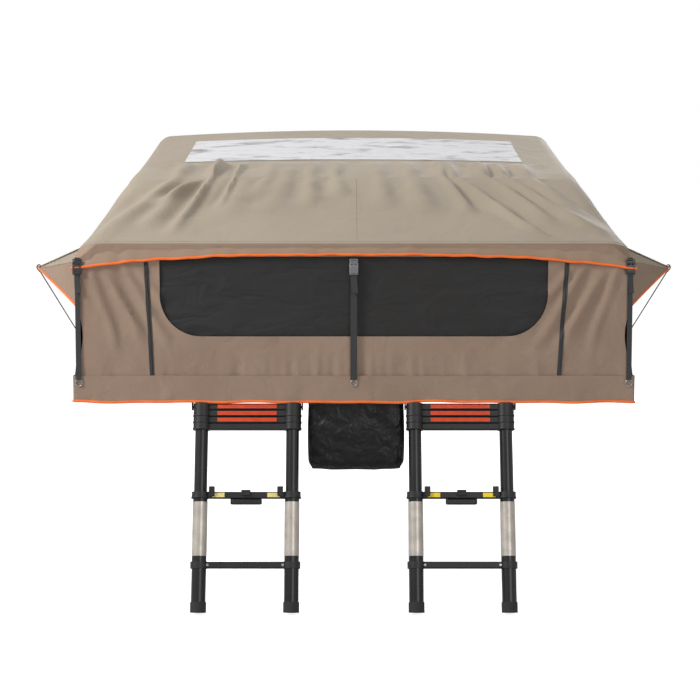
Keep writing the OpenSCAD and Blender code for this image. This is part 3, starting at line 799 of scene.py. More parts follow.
@dataclass
class FlyPanel:
    """A panel of the fly between two bows, with its two side awnings.

    Attributes:
        name: The piece's name.
        node: The node that it replaces.
        a: The bow at its front edge.
        b: The bow at its rear edge.
        folds: Its folds.
        window: Opening in it: its half width, and where it starts and ends on the run.
        runs_on: Whether its folds run on over the bow at its front and at its rear edge.
        stitched: True where its seams show.
        columns: Points along the bows.
        rows: Points from bow to bow.
        depth: How much its folds are drawn up.
        sag: How far it hangs in halfway between the bows.
        round_run: How far from a bow its rounding reaches, where it runs on.
        round_rise: Height of the rounding as a share of that.
        hem_r: Radius of the piping on its awnings' hems.
        seam_r: Radius of its seams.
        HELD: Share of the run over which a bow holds the cloth flat.
        LIFTED: Share of the run over which folds that run on over a bow turn away from the hinge.
        INSIDE: A point inside the tent, from the hinge.
    """

    name: str
    node: str
    a: Bow
    b: Bow
    folds: list[Fold]
    window: tuple[float, float, float] | None = None
    runs_on: tuple[bool, bool] = (False, False)
    stitched: bool = False
    columns: int = 441
    rows: int = 65
    depth: float = 3.1
    sag: float = 4 * MM
    round_run: float = 280 * MM
    round_rise: float = 0.1
    hem_r: float = 5.2 * MM
    seam_r: float = 1.5 * MM

    HELD = 0.05
    LIFTED = 0.15
    INSIDE = np.array([0, 0, 0.3])

    def surface(self, s: Array, t: Array, lift: float = 0.0) -> Array:
        """Lays the folded cloth between the bows.

        Args:
            s: Shares along the bows.
            t: Shares of the way between them.
            lift: Distance outside the cloth's own seat.

        Returns:
            Points by t and s.
        """
        grid = stretched(self.a, self.b, s, t, lift)
        away = normals(grid)
        run = np.broadcast_to(t[:, None], grid.shape[:2])
        along = self._width(s)
        height = -self.sag * np.sin(np.pi * run)
        for fold in self.folds:
            height = height + self.depth * fold.lift(along, run)
        # The cloth rounds off the bow where it runs on, so that no crease shows there.
        ends = [polar(bow.phi, np.array(0.0), np.array(bow.reach)) for bow in (self.a, self.b)]
        length = float(np.linalg.norm(ends[1] - ends[0]))
        for on, share in enumerate((run, 1 - run)):
            off = np.clip(share * length / self.round_run, 0, 1)
            height = height + self.runs_on[on] * self.round_rise * self.round_run * off * (1 - off) ** 2
        start, end = smooth(run, 0.0, self.HELD), 1 - smooth(run, 1 - self.HELD, 1.0)
        rises = height > 0
        held = np.where(rises & self.runs_on[0], 1.0, start) * np.where(rises & self.runs_on[1], 1.0, end)
        outwards = np.sign((away * (grid - HINGE - self.INSIDE)).sum(axis=2))
        away = away * outwards[..., None]
        # Where folds run on over a bow, both panels lift straight away from the hinge.
        nears = 1 - smooth(run, 0, self.LIFTED), smooth(run, 1 - self.LIFTED, 1)
        for bow, near, on in zip((self.a, self.b), nears, self.runs_on):
            share = (near * on)[..., None]
            away = away * (1 - share) + (polar(bow.phi, np.array(0.0), np.array(1.0)) - HINGE) * share
        return grid + away * (height * held)[..., None]

    def _width(self, s: Array) -> Array:
        """Measures along the front bow's outline from the middle.

        Args:
            s: Shares along the bow.

        Returns:
            The distances in metres, signed as X.
        """
        x, reach = self.a.outline(s, 0.0)
        ends = np.abs(x) + np.where(np.abs(x) > self.a.x - Bow.BEND, self.a.reach - reach, 0.0)
        return np.sign(s) * ends

    def awning(self, side: int) -> Array:
        """Spreads one side awning from its seam to its hem.

        Args:
            side: 1 for +X and -1 for -X.

        Returns:
            Points by run and width.
        """
        first, last = Awning.on_bow(self.a), Awning.on_bow(self.b)
        t, v = np.linspace(0, 1, 33)[:, None], np.linspace(0, 1, 17)[None, :]
        ends = []
        for bow, edge in ((self.a, first), (self.b, last)):
            x = bow.cloth_x(edge.seam) + (edge.tip_x - bow.cloth_x(edge.seam)) * v
            reach = edge.seam + (edge.hem - edge.seam) * v
            ends.append(polar(bow.phi, x, reach))
        grid = ends[0] + (ends[1] - ends[0]) * t[..., None]
        slack = np.sin(np.pi * t)
        grid[..., 2] -= Awning.BELLY * slack * np.sin(np.pi * v) + Awning.DROOP * slack * v
        grid[..., 0] -= Awning.DRAW_IN * slack * v**2
        grid[..., 2] += Awning.WAVE * slack * np.sin(9 * v + 5 * t)
        return grid * np.array([side, 1, 1])

    def build(self) -> list[Piece]:
        """Makes the panel with its awnings, the piping on their hems and its seams.

        Returns:
            The cloth, the piping and, where it is stitched, the seams.
        """
        s, t = np.linspace(-1, 1, self.columns), np.linspace(0, 1, self.rows)
        grid = self.surface(s, t)
        sides = [self.awning(side) for side in (-1, 1)]
        cloth = cloth_piece(self.name, [grid, *sides], FLY_CLOTH, opening=self._opening(grid, t))
        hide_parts(self.node)
        hem = tube_piece(self.name + "_piping", [side[:, -1] for side in sides], self.hem_r, PIPING)
        made = [cloth, hem]
        if self.stitched:
            made.append(self._seams())
        for piece in made:
            follow_angle(piece, self.a.phi, self.b.phi)
        return made

    def _seams(self) -> Piece:
        """Makes the felled seams: one along the eave, and one down the middle.

        Returns:
            Both seams as one piece.
        """
        s, lift = np.linspace(-0.6, 0.6, 201), 1.2 * MM
        eave = self.surface(s, np.array([0.03, 0.045]), lift)[0]
        down = self.surface(np.array([0.006, 0.02]), np.linspace(0.03, 0.97, 61), lift)[:, 0]
        return tube_piece(self.name + "_seams", [eave, down], self.seam_r, FLY_CLOTH)

    def _opening(self, grid: Array, t: Array) -> Array | None:
        """Marks the faces inside the panel's opening.

        Args:
            grid: The panel's points.
            t: Shares of the way between the bows.

        Returns:
            The faces to cut out, or None.
        """
        if not self.window:
            return None
        half, low, high = self.window
        middle = np.abs(grid[:-1, :-1, 0] + grid[:-1, 1:, 0]) / 2
        run = ((t[:-1] + t[1:]) / 2)[:, None]
        return (middle < half) & (run > low) & (run < high)


# The area worked out for a sheet is at least this share of its flat size.
LEAST_FILL = 0.35


def lay_sheet(grids: Sequence[Array]) -> None:
    """Works out the size and area that a sheet's grids have when laid flat.

    Args:
        grids: The grids that it was made from.
    """
    area = 0.0
    for g in grids:
        cross = np.cross(g[1:, 1:] - g[:-1, :-1], g[1:, :-1] - g[:-1, 1:])
        area += float(np.linalg.norm(cross, axis=2).sum() / 2)
    wide = sum(stepped(g, 1)[-1] for g in grids)
    tall = max(max(stepped(g, 0)[-1] for g in grids), area / wide * 1.02)
    area = max(area, LEAST_FILL * wide * tall)


def ripple(u: Array, seed: int, longest: float, shortest: float, count: int = 9) -> Array:
    """Sums seeded waves along a line, about 1 high.

    Args:
        u: Places along the line, in metres.
        seed: Seed of the draw.
        longest: The longest wave, in metres.
        shortest: The shortest wave.
        count: The number of waves.

    Returns:
        The height at each place.
    """
    draw = np.random.default_rng(seed)
    total = np.zeros_like(u)
    for wave in np.geomspace(longest, shortest, count):
        total += draw.uniform(0.5, 1.0) * np.sin(2 * np.pi * u / wave + draw.uniform(0, 6.283))
    return total / math.sqrt(count)


@dataclass
class Skylight:
    """The clear film sewn over the opening in the front top panel.

    Attributes:
        panel: The panel that carries it.
        half: Its half width.
        low: Where it starts on the panel's run.
        high: Where it ends.
        lift: How far it lies over the panel.
        HEM: How far it laps over the sides of the opening; HEM_RUN is the lap on the panel's run.
        CRINKLE: Height of its crinkles.
    """

    panel: FlyPanel
    half: float = 812 * MM
    low: float = 0.36
    high: float = 0.82
    lift: float = 3.4 * MM

    HEM = 90 * MM
    HEM_RUN = 0.03
    CRINKLE = 1.6 * MM

    @classmethod
    def opening(cls) -> tuple[float, float, float]:
        """Gives the opening under the film: its half width, and where it starts and ends on the run."""
        return (cls.half - cls.HEM, cls.low + cls.HEM_RUN, cls.high - cls.HEM_RUN)

    def build(self) -> list[Piece]:
        """Makes the crinkled film and fixes it over the panel.

        Returns:
            The film alone.
        """
        reach = (1 - Bow.LEG_SHARE - Bow.BEND_SHARE) * self.half / self.panel.a.flat()
        s, t = np.linspace(-reach, reach, 161), np.linspace(self.low, self.high, 41)
        grid = self.panel.surface(s, t, self.lift)
        away = normals(grid)
        away *= np.sign(away[..., 2:3])
        edge = np.minimum(smooth(t, self.low, self.low + 0.08), 1 - smooth(t, self.high - 0.08, self.high))
        crinkle = ripple(grid[..., 0] + 0.7 * grid[..., 1], 3, 0.42, 0.06) * ripple(grid[..., 1], 5, 0.3, 0.08, 5)
        grid = grid + away * (self.CRINKLE * np.abs(crinkle) * edge[:, None])[..., None]
        film = cloth_piece("skylight_film", [grid], FILM, 1.2 * MM)
        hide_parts("skylight")
        lay_sheet([grid])
        follow_angle(film, self.panel.a.phi, self.panel.b.phi)
        return [film]


@dataclass
class Valance:
    """The strip of wall cloth that hangs below an eave, with its piped hem.

    Attributes:
        name: The piece's name.
        panel: The slope panel that it is sewn to.
        at_front: True for the front eave.
        middle: How far it hangs down in the middle.
        corner: How much further it hangs down at its ends.
        half: Its half width.
        stand: How far its hem stands outside the wall.
        cord_r: Radius of its piping.
    """

    name: str
    panel: FlyPanel
    at_front: bool
    middle: float = 46 * MM
    corner: float = 60 * MM
    half: float = 1195 * MM
    stand: float = 9 * MM
    cord_r: float = 6 * MM

    def build(self) -> list[Piece]:
        """Makes the hanging strip and its piping.

        Returns:
            The strip and the piping.
        """
        bow = self.panel.a if self.at_front else self.panel.b
        ends = 1 - Bow.LEG_SHARE + 0.03
        s = np.linspace(-ends, ends, 201)
        edge = np.array([0.0, 0.02]) if self.at_front else np.array([1.0, 0.98])
        top = self.panel.surface(s, edge)[0]
        x = top[:, 0] * self.half / np.abs(top[:, 0]).max()
        drop = self.middle + self.corner * np.abs(x / self.half) ** 3 + 2.5 * MM * ripple(x, 11, 0.6, 0.12, 5)
        out = -1 if self.at_front else 1
        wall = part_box("front_wall")[0].y if self.at_front else top[100, 1]
        hem = np.stack([x, np.full_like(x, wall + out * self.stand), top[100, 2] - drop], axis=-1)
        v = np.linspace(0, 1, 9)[:, None]
        grid = top + (hem - top) * v[..., None]
        grid[..., 1] += out * v * 3 * MM * ripple(x, 12, 0.35, 0.07)
        strip = cloth_piece(self.name, [grid], HEM_CLOTH)
        lay_sheet([grid])
        cord = tube_piece(self.name + "_piping", [grid[-1]], self.cord_r, PIPING)
        for piece in (strip, cord):
            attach(piece, bow.node)
        return [strip, cord]


def hits(centre: Array, toward: Array, loop: Array) -> Array:
    """Finds where rays from a centre cross a closed loop.

    Args:
        centre: The centre, in the plane.
        toward: Points that the rays go through.
        loop: The loop's corners.

    Returns:
        The crossing of each ray.
    """
    a, b = loop, np.roll(loop, -1, axis=0)
    out = []
    for ray in toward - centre:
        edge = b - a
        cross = ray[0] * edge[:, 1] - ray[1] * edge[:, 0]
        with np.errstate(divide="ignore", invalid="ignore"):
            along = ((a[:, 0] - centre[0]) * edge[:, 1] - (a[:, 1] - centre[1]) * edge[:, 0]) / cross
            on = ((a[:, 0] - centre[0]) * ray[1] - (a[:, 1] - centre[1]) * ray[0]) / cross
        good = (along > 0) & (on >= -1e-9) & (on <= 1 + 1e-9)
        out.append(centre + ray * along[good].min())
    return np.array(out)


def spaced(loop: Array, count: int) -> Array:
    """Spreads points evenly along a closed loop, with the last on the first.

    Args:
        loop: The loop's corners.
        count: The number of points.

    Returns:
        The points.
    """
    ring = np.vstack([loop, loop[:1]])
    place = lengths(ring)
    at = np.linspace(0, place[-1], count)
    return np.stack([np.interp(at, place, ring[:, k]) for k in (0, 1)], axis=-1)


@dataclass
class FrontWall:
    """The front wall round its mesh window, with two zip strips.

    Attributes:
        half: The wall's half width.
        low: Its foot, behind the skirt.
        window_half: The window's half width.
        window_low: The window's lower edge.
        window_high: Its upper edge.
        corner: Radius of its lower corners.
        pinch: How far the wall's sides draw in at its waist.
        shoulder: Width and height of its cut upper corners.
        tape: Half width of a zip's strip.
        WAIST: Height and spread of the waist.
        BELLY: Depth, foot and height of the belly.
        GATHER: Depth, height and spread of the gathers over the skirt, and the height where they start.
        CREASES: Creases from the upper corners: X at the top in metres, slope, half width and height in mm.
    """

    half: float = 1185 * MM
    low: float = 67 * MM
    window_half: float = 822 * MM
    window_low: float = 296 * MM
    window_high: float = 634 * MM
    corner: float = 175 * MM
    pinch: float = 36 * MM
    shoulder: tuple[float, float] = (95 * MM, 75 * MM)
    tape: float = 9.5 * MM

    WAIST = (0.30, 0.13)
    BELLY = (7 * MM, 0.085, 0.56)
    GATHER = (3.2 * MM, 0.135, 0.075, 0.11)
    CREASES = (
        (1.06, 0.80, 22, 10), (0.99, 1.05, 18, 8), (1.12, 0.46, 20, 9), (0.95, 1.5, 20, 6), (1.10, 1.2, 16, 7),
    )

    def relief(self, flat: Array) -> Array:
        """Lays points of the wall's plane on the slack wall.

        Args:
            flat: Points as X and Z.

        Returns:
            Points in space.
        """
        x, z = flat[..., 0], flat[..., 1]
        lowest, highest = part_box("front_wall")
        side = np.abs(x) / self.half
        waist = np.exp(-(((z - self.WAIST[0]) / self.WAIST[1]) ** 2))
        # The wall bellies in, gathers over the skirt, and creases from its upper corners.
        y = np.full_like(x, lowest.y + 1 * MM)
        deep, foot, tall = self.BELLY
        y += deep * np.sin(np.pi * np.clip((z - foot) / tall, 0, 1)) * (1 - side**4)
        deep, middle, spread, foot = self.GATHER
        near = np.exp(-(((z - middle) / spread) ** 2)) * (z > foot)
        y += deep * near * (0.6 + ripple(x, 21, 0.23, 0.045, 7))
        for sign in (-1, 1):
            for start, run, width, height in self.CREASES:
                line = sign * (start - (0.62 - z) * run * 0.55)
                d = (x - line) * sign / (width * MM)
                crest = np.exp(-d * d) - 0.6 * np.exp(-(((d + 1.8) / 1.3) ** 2))
                y -= height * MM * crest * smooth(z, 0.14, 0.34) * (1 - smooth(z, 0.54, 0.68))
        y += 1.2 * MM * ripple(x + 0.6 * z, 22, 0.8, 0.16, 6) * smooth(z, 0.13, 0.2) * (1 - smooth(z, 0.6, 0.66))
        x = x - np.sign(x) * self.pinch * waist * smooth(side, 0.72, 1.0)
        return np.stack([x, np.maximum(y, lowest.y - 7 * MM), np.minimum(z, highest.z - 2 * MM)], axis=-1)

    def window_loop(self, grow: float) -> Array:
        """Gives the window's outline: straight above, with large round corners below.

        Args:
            grow: How far outside the window's own edge it lies.

        Returns:
            Its corners as X and Z.
        """
        turn = np.linspace(0, np.pi / 2, 15)
        w, r = self.window_half + grow, self.corner
        right = np.stack([w - r + r * np.sin(turn), self.window_low - grow + r - r * np.cos(turn)], axis=-1)
        top = np.array([[w, self.window_high + grow], [-w, self.window_high + grow]])
        return np.vstack([right, top, (right * np.array([-1, 1]))[::-1]])

    def _cloth(self) -> Piece:
        """Makes the wall round the window.

        Returns:
            The wall.
        """
        top, (cut, drop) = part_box("front_wall")[1].z - 2 * MM, self.shoulder
        loop = np.array([
            [-self.half, self.low], [self.half, self.low], [self.half, top - drop], [self.half - cut, top],
            [cut - self.half, top], [-self.half, top - drop],
        ])
        outer = spaced(loop, 481)
        centre = np.array([0.0, (self.window_low + self.window_high) / 2])
        inner = hits(centre, outer, self.window_loop(0.0))
        v = np.linspace(0, 1, 27)[:, None, None]
        grid = self.relief(inner + (outer - inner) * v)
        wall = cloth_piece("front_wall_cloth", [grid], WALL_CLOTH)
        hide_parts("front_wall")
        lay_sheet([grid])
        return wall

    def _mesh(self) -> Piece:
        """Makes the insect mesh behind the window, with its rim set back from the wall.

        Returns:
            The mesh.
        """
        loop = spaced(self.window_loop(12 * MM), 241)
        centre = np.array([0.0, (self.window_low + self.window_high) / 2])
        v = np.linspace(0.02, 1, 14)[:, None, None]
        grid = self.relief(centre + (loop - centre) * v) + np.array([0, 2.6 * MM, 0])
        grid[..., 1] += 5 * MM * smooth(v[..., 0], 0.85, 1.0)
        mesh = cloth_piece("window_mesh_cloth", [grid], MESH, 1.0 * MM)
        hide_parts("window_mesh")
        lay_sheet([grid])
        return mesh

    def _zip(self, name: str, top: tuple[float, float], foot: tuple[float, float]) -> list[Piece]:
        """Makes one zip.

        Args:
            name: The zip's name.
            top: X and Z of its upper end.
            foot: X and Z of its lower end.

        Returns:
            Its strip, its coil and its pull tab.
        """
        v = np.linspace(0, 1, 41)[:, None, None]
        line = np.array(top) + (np.array(foot) - np.array(top)) * v
        u = np.linspace(-1, 1, 7)[None, :, None] * np.array([self.tape, 0])
        grid = self.relief(line + u) - np.array([0, 2.4 * MM, 0])
        strip = cloth_piece(name + "_strip", [grid], WEBBING, 1.4 * MM)
        lay_sheet([grid])
        coil = tube_piece(name + "_coil", [grid[:, 3] - np.array([0, 1.2 * MM, 0])], 2.2 * MM, WEBBING)
        at = grid[2, 3] - np.array([0, 3 * MM, 0])
        tab = np.array([[[dx, 0, dz] for dx in (-7, -3, 3, 7)] for dz in (0, -9, -18, -26)]) * MM + at
        pull = cloth_piece(name + "_pull", [tab], WEBBING, 2.5 * MM)
        lay_sheet([tab])
        return [strip, coil, pull]

    def build(self) -> list[Piece]:
        """Makes the wall, its mesh and its zips.

        Returns:
            The pieces.
        """
        made = [self._cloth(), self._mesh()]
        made += self._zip("left_zip", (-0.879, 0.622), (-0.856, 0.118))
        made += self._zip("right_zip", (0.902, 0.610), (0.872, 0.118))
        for piece in made:
            follow_angle(piece, 180.0, EAVE_FRONT.phi)
        return made


@dataclass
class SideWalls:
    """The two front side walls, and the flaps that close the awnings' front and rear ends.

    Attributes:
        inside: How far a wall draws in at the front.
        flap_low: Height of a flap's foot.
        rear_foot_x: X of a rear flap's foot.
        hem_r: Radius of the flaps' piping.
    """

    inside: float = 22 * MM
    flap_low: float = 430 * MM
    rear_foot_x: float = 1160 * MM
    hem_r: float = 5.2 * MM

    def _wall(self, side: int) -> Array:
        """Lays one side wall from the base frame up to the eave bow's leg.

        Args:
            side: -1 for the left wall, 1 for the right one.

        Returns:
            Its grid.
        """
        low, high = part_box("front_side_walls")
        x0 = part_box("folding_frame")[1].x + 1.3 * MM
        u, v = np.linspace(0, 1, 81)[None, :], np.linspace(0, 1, 29)[:, None]
        y = (low.y + 2 * MM) + (high.y - low.y - 4 * MM) * u
        rise = math.tan(math.radians(180 - EAVE_FRONT.phi))
        top = HINGE[2] + (HINGE[1] - y) * rise - 13 * MM - 70 * MM * (1 - smooth(u, 0.0, 0.16))
        z = low.z + 2 * MM + (top - low.z - 2 * MM) * v
        tuck = np.sin(np.pi * np.clip((z - 0.09) / np.maximum(top - 0.09, 0.02), 0, 1))
        x = x0 - tuck * (self.inside * smooth(1 - u, 0.0, 0.5) + 2.5 * MM * ripple(y + 0.5 * z, 31, 0.5, 0.1))
        return grid_of(side * x, y + 0 * z, z)

    def _flap(self, side: int, bow: Bow) -> Array:
        """Lays one flap from the corner of the wall to the awning's tip.

        Args:
            side: -1 for the left flap, 1 for the right one.
            bow: The eave bow that it hangs on.

        Returns:
            Its grid.
        """
        edge = Awning.on_bow(bow)
        at_front = bow.phi > 90
        phi = bow.phi + (0.4 if at_front else -0.4)
        tip = polar(phi, np.array(edge.tip_x - 3 * MM), np.array(edge.hem))
        seam = edge.seam + 12 * MM
        top = polar(phi, np.array(bow.cloth_x(seam)), np.array(seam))
        if at_front:
            x0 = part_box("folding_frame")[1].x - 10.8 * MM
            foot = np.array([x0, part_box("front_wall")[0].y + 8 * MM, self.flap_low])
        else:
            foot = np.array([self.rear_foot_x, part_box("rear_wall")[1].y - 26 * MM, self.flap_low])
        u, v = np.linspace(0, 1, 25)[:, None, None], np.linspace(0, 0.985, 25)[None, :, None]
        grid = (top + (foot - top) * u) * (1 - v) + tip * v
        slack = (np.sin(np.pi * v) * u)[..., 0]
        wave = 3 * MM * np.sin(np.pi * v[..., 0]) * np.sin(7 * u[..., 0])
        grid[..., 1] += (10 if at_front else -10) * MM * slack + wave
        return grid * np.array([side, 1, 1])

    def build(self) -> list[Piece]:
        """Makes the walls, the flaps with the front ones' upper bands, and the flaps' piping.

        Returns:
            The pieces.
        """
        walls = [self._wall(side) for side in (-1, 1)]
        flaps = [self._flap(side, EAVE_FRONT) for side in (-1, 1)]
        cloth = cloth_piece("front_side_wall_cloth", walls, WALL_CLOTH)
        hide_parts("front_side_walls")
        lay_sheet(walls)
        # Below their khaki band the flaps take the darker wall cloth in place of the fly's khaki: painted shade, for
        # the shade under the awnings.
        ends = cloth_piece("awning_flap_cloth", flaps, WALL_CLOTH)
        lay_sheet(flaps)
        bands = [flap[:6] - np.array([0, 2.5 * MM, 0]) for flap in flaps]
        band = cloth_piece("awning_band_cloth", bands, FLY_CLOTH)
        lay_sheet(bands)
        piping = tube_piece("flap_piping", [flap[-1] for flap in flaps], self.hem_r, PIPING)
        for piece in (cloth, ends, band, piping):
            follow_angle(piece, 180.0, EAVE_FRONT.phi)
        backs = [self._flap(side, EAVE_REAR) for side in (-1, 1)]
        # The rear flaps take the same darker wall cloth: painted shade, as at the front.
        rear = cloth_piece("rear_flap_cloth", backs, WALL_CLOTH)
        lay_sheet(backs)
        rear_piping = tube_piece("rear_flap_piping", [back[-1] for back in backs], self.hem_r, PIPING)
        for piece in (rear, rear_piping):
            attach(piece, "base")
            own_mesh(piece)
        return [cloth, ends, band, piping, rear, rear_piping]


@dataclass
class RearWall:
    """The rear wall with its two sides, slack between the base and the rear eave bow.

    Attributes:
        sag: How far it hangs in.
    """

    sag: float = 9 * MM

    def build(self) -> list[Piece]:
        """Makes the wall, which rides on the base.

        Returns:
            The wall alone.
        """
        low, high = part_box("rear_wall")
        bow = EAVE_REAR
        foot_x, foot_y, foot_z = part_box("fixed_frame")[1].x - 4.6 * MM, high.y - 2 * MM, low.z + 1.5 * MM
        top = polar(bow.phi, np.array(bow.x), np.array(bow.reach))
        top_y, top_z = top[1] + CLOTH_SEAT, top[2] - 5 * MM
        u, v = np.linspace(-1, 1, 161)[None, :], np.linspace(0, 1, 31)[:, None]
        x = u * (foot_x + (bow.x + CLOTH_SEAT - foot_x) * v)
        slack = np.sin(np.pi * v)
        held = slack * (1 - np.abs(u) ** 12)
        y = foot_y + (top_y - foot_y) * v - held * (self.sag + 3 * MM * ripple(x + 0.5 * v, 41, 0.7, 0.11))
        back = grid_of(x, y, foot_z + (top_z - foot_z) * v)
        # One side runs from the hinge to the back's corner, and closes on it there.
        u = np.linspace(0, 1, 81)[None, :]
        start = HINGE[1] + Bow.LOW_REACH
        leg = polar(bow.phi - 0.7, np.array(0.0), Bow.LOW_REACH + (bow.reach - 14 * MM - Bow.LOW_REACH) * u)
        foot_along = start + (foot_y - start) * u
        held = slack * u * (1 - u**12)
        y = foot_along + (leg[..., 1] - foot_along) * v
        y = y + (foot_y + (top_y - foot_y) * v - y) * smooth(u, 0.93, 1.0)
        z = foot_z + (leg[..., 2] - foot_z) * v
        hang = held * (self.sag + 2.5 * MM * ripple(y + 0.6 * z, 42, 0.5, 0.1))
        x = foot_x + (bow.x + CLOTH_SEAT - foot_x) * v - hang
        side = grid_of(x, y, z)
        grids = [back, side, side * np.array([-1, 1, 1])]
        wall = cloth_piece("rear_wall_cloth", grids, WALL_CLOTH)
        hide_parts("rear_wall")
        lay_sheet(grids)
        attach(wall, "base")
        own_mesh(wall)
        return [wall]


@dataclass
class Skirt:
    """The skirt round one half of the base, with its piped hem.

    Attributes:
        name: The piece's name.
        node: The node that it replaces.
        body: The body that it rides on.
        at_front: True for the folding half.
        corner: Radius of its corners.
        inset: How far it lies inside its node's box.
        cord_r: Radius of its piping.
        seam_r: Radius of its upper seam.
    """

    name: str
    node: str
    body: str
    at_front: bool
    corner: float = 9 * MM
    inset: float = 1.6 * MM
    cord_r: float = 6 * MM
    seam_r: float = 1.6 * MM

    def _path(self) -> Array:
        """Gives the skirt's line seen from above, round its two corners.

        Returns:
            Its points as X and Y.
        """
        low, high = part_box(self.node)
        half = high.x - self.inset
        far, near = (low.y + self.inset, high.y) if self.at_front else (high.y - self.inset, low.y)
        out, r = -1 if self.at_front else 1, self.corner
        turn = np.linspace(0, np.pi / 2, 9)
        bend = np.stack([half - r + r * np.cos(turn), far - out * r + out * r * np.sin(turn)], axis=-1)
        right = np.vstack([[[half, near]], bend])
        points = np.vstack([right, (right * np.array([-1, 1]))[::-1]])
        place = lengths(points)
        at = np.unique(np.concatenate([np.linspace(0, place[-1], 521), place]))
        return np.stack([np.interp(at, place, points[:, k]) for k in (0, 1)], axis=-1)

    def build(self) -> list[Piece]:
        """Makes the wavy skirt, its piping and its upper seam.

        Returns:
            The skirt, the piping and the seam.
        """
        low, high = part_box(self.node)
        path = self._path()
        along = lengths(path)
        run = np.gradient(path, axis=0)
        out = np.stack([run[:, 1], -run[:, 0]], axis=-1) / np.linalg.norm(run, axis=1, keepdims=True)
        out *= np.sign((out * (path - path.mean(axis=0))).sum(axis=1, keepdims=True))
        v = np.linspace(0, 1, 15)[:, None]
        wave = 2.4 * MM * v**2 * ripple(along, 51, 0.5, 0.06)
        wave = wave + 1.5 * MM * np.sin(np.pi * v) * ripple(along, 52, 0.9, 0.2)
        place = path + out * np.maximum(wave, -0.6 * MM)[..., None]
        hem = low.z + 3 * MM * (1 + ripple(along, 53, 1.3, 0.25, 5))
        z = high.z - 1 * MM + (hem - high.z + 1 * MM) * v
        grid = np.concatenate([place, z[..., None]], axis=-1)
        cloth = cloth_piece(self.name, [grid], WALL_CLOTH)
        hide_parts(self.node)
        lay_sheet([grid])
        piping = tube_piece(self.name + "_piping", [grid[-1]], self.cord_r, PIPING)
        seam = tube_piece(self.name + "_seam", [grid[0]], self.seam_r, HEM_CLOTH)
        for piece in (cloth, piping, seam):
            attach(piece, self.body)
        return [cloth, piping, seam]


@dataclass
class HingeGussets:
    """The cloth that closes the tent's sides round the hinge, slit below it so that it opens like a fan.

    Attributes:
        hub_x: X of the flat patch round the pin's end.
        hub: Radius of that patch.
        reach: Distance from the hinge line to the edge.
        slit: Half width of the slit, in degrees.
        over: How far the edge lies outside the cloth that it is sewn to.
        pin: Radius of the hole round the pin.
    """

    hub_x: float = 1193 * MM
    hub: float = 16 * MM
    reach: float = 135 * MM
    slit: float = 4.0
    over: float = 3 * MM
    pin: float = 6 * MM

    def _side(self, side: int, start: float, end: float) -> Array:
        """Lays one fan of a gusset, from the pin's end to the cloth that it is sewn to.

        Args:
            side: -1 for the left gusset, 1 for the right one.
            start: The angle about the hinge line at which the fan starts, in degrees from the rear.
            end: The angle at which it ends.

        Returns:
            Its grid.
        """
        turn = np.linspace(start, end, max(9, round((end - start) / 2.5)))[:, None]
        v = np.linspace(0, 1, 17)[None, :]
        a = np.radians(turn)
        # The edge is an arch above the hinge and a square below it.
        edge = np.where(np.sin(a) > 0, self.reach, self.reach / np.maximum(np.abs(np.cos(a)), np.abs(np.sin(a))))
        wall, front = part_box("rear_wall")[1].x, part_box("folding_frame")[1].x
        meets = [wall, wall - 2 * MM, wall - 32 * MM, *(float(bow.cloth_x(self.reach)) for bow in BOWS), front, front]
        rim = np.interp(turn, [-90, -46, 0, *(bow.phi for bow in BOWS), 180, 270], meets) + self.over
        r = self.pin + (edge - self.pin) * v
        x = self.hub_x + (rim - self.hub_x) * smooth(r, self.hub, edge)
        return grid_of(side * x, HINGE[1] + r * np.cos(a), HINGE[2] + r * np.sin(a))

    def build(self) -> list[Piece]:
        """Makes both gussets as fans between the bows, of which the first two and the last ride on a body.

        Returns:
            The fans, from the rear to the front.
        """
        stops = [-90 + self.slit, 0.0, *(bow.phi for bow in BOWS), 180.0, 270 - self.slit]
        bodies = ["base", "base", *(bow.node for bow in BOWS), "folding_half", "folding_half"]
        made = []
        for k, (start, end) in enumerate(zip(stops, stops[1:])):
            grids = [self._side(side, start, end) for side in (-1, 1)]
            cloth = cloth_piece(f"hinge_gusset_cloth_{k + 1}", grids, WALL_CLOTH, 1.6 * MM)
            lay_sheet(grids)
            near, far = bodies[k], bodies[k + 1]
            if near == far or near == "base":
                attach(cloth, far)
            else:
                follow_angle(cloth, start, end, self.reach)
            made.append(cloth)
        return made


@dataclass
class TipHooks:
    """The small hooks at the front rods' tips that carry the awnings' corners.

    Attributes:
        wire: Radius of the wire.
    """

    wire: float = 2.6 * MM

    def build(self) -> list[Piece]:
        """Makes both hooks as bent wire.

        Returns:
            The hooks as one piece.
        """
        low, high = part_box("front_awning_rods")
        turn = np.radians(np.linspace(-60, 200, 27))
        lines = []
        for side in (-1, 1):
            x, z = high.x + 9 * np.cos(turn) * MM, high.z + (12 + 11 * np.sin(turn)) * MM
            ring = np.c_[side * x, np.full_like(x, low.y + 3 * MM), z]
            stem = np.array([[side * (high.x - 4 * MM), low.y + 3 * MM, high.z - 8 * MM]])
            lines.append(np.vstack([stem, ring]))
        hooks = tube_piece("awning_tip_hooks", lines, self.wire, SPRING_STEEL)
        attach(hooks, "folding_half")
        return [hooks]


def block(name: str, low: Sequence[float], high: Sequence[float], bevel: float, segments: int = 3) -> Piece:
    """Starts a hard piece as a bevelled block between two corners.

    Args:
        name: The piece's name.
        low: Its lowest corner, in mm.
        high: Its highest corner, in mm.
        bevel: Width of its bevelled edges, in mm.
        segments: Steps of the bevel.

    Returns:
        The block, with its place in its mesh.
    """
    bpy.ops.object.select_all(action="DESELECT")
    low, high = np.array(low) * MM, np.array(high) * MM
    bpy.ops.mesh.primitive_cube_add(size=1, location=tuple((low + high) / 2))
    obj = bpy.context.object
    obj.name = obj.data.name = name
    obj.scale = tuple(high - low)
    bpy.ops.object.transform_apply(location=True, rotation=False, scale=True)
    if bevel:
        apply_modifier(obj, "BEVEL", width=bevel * MM, segments=segments, limit_method="ANGLE", harden_normals=False)
    return obj


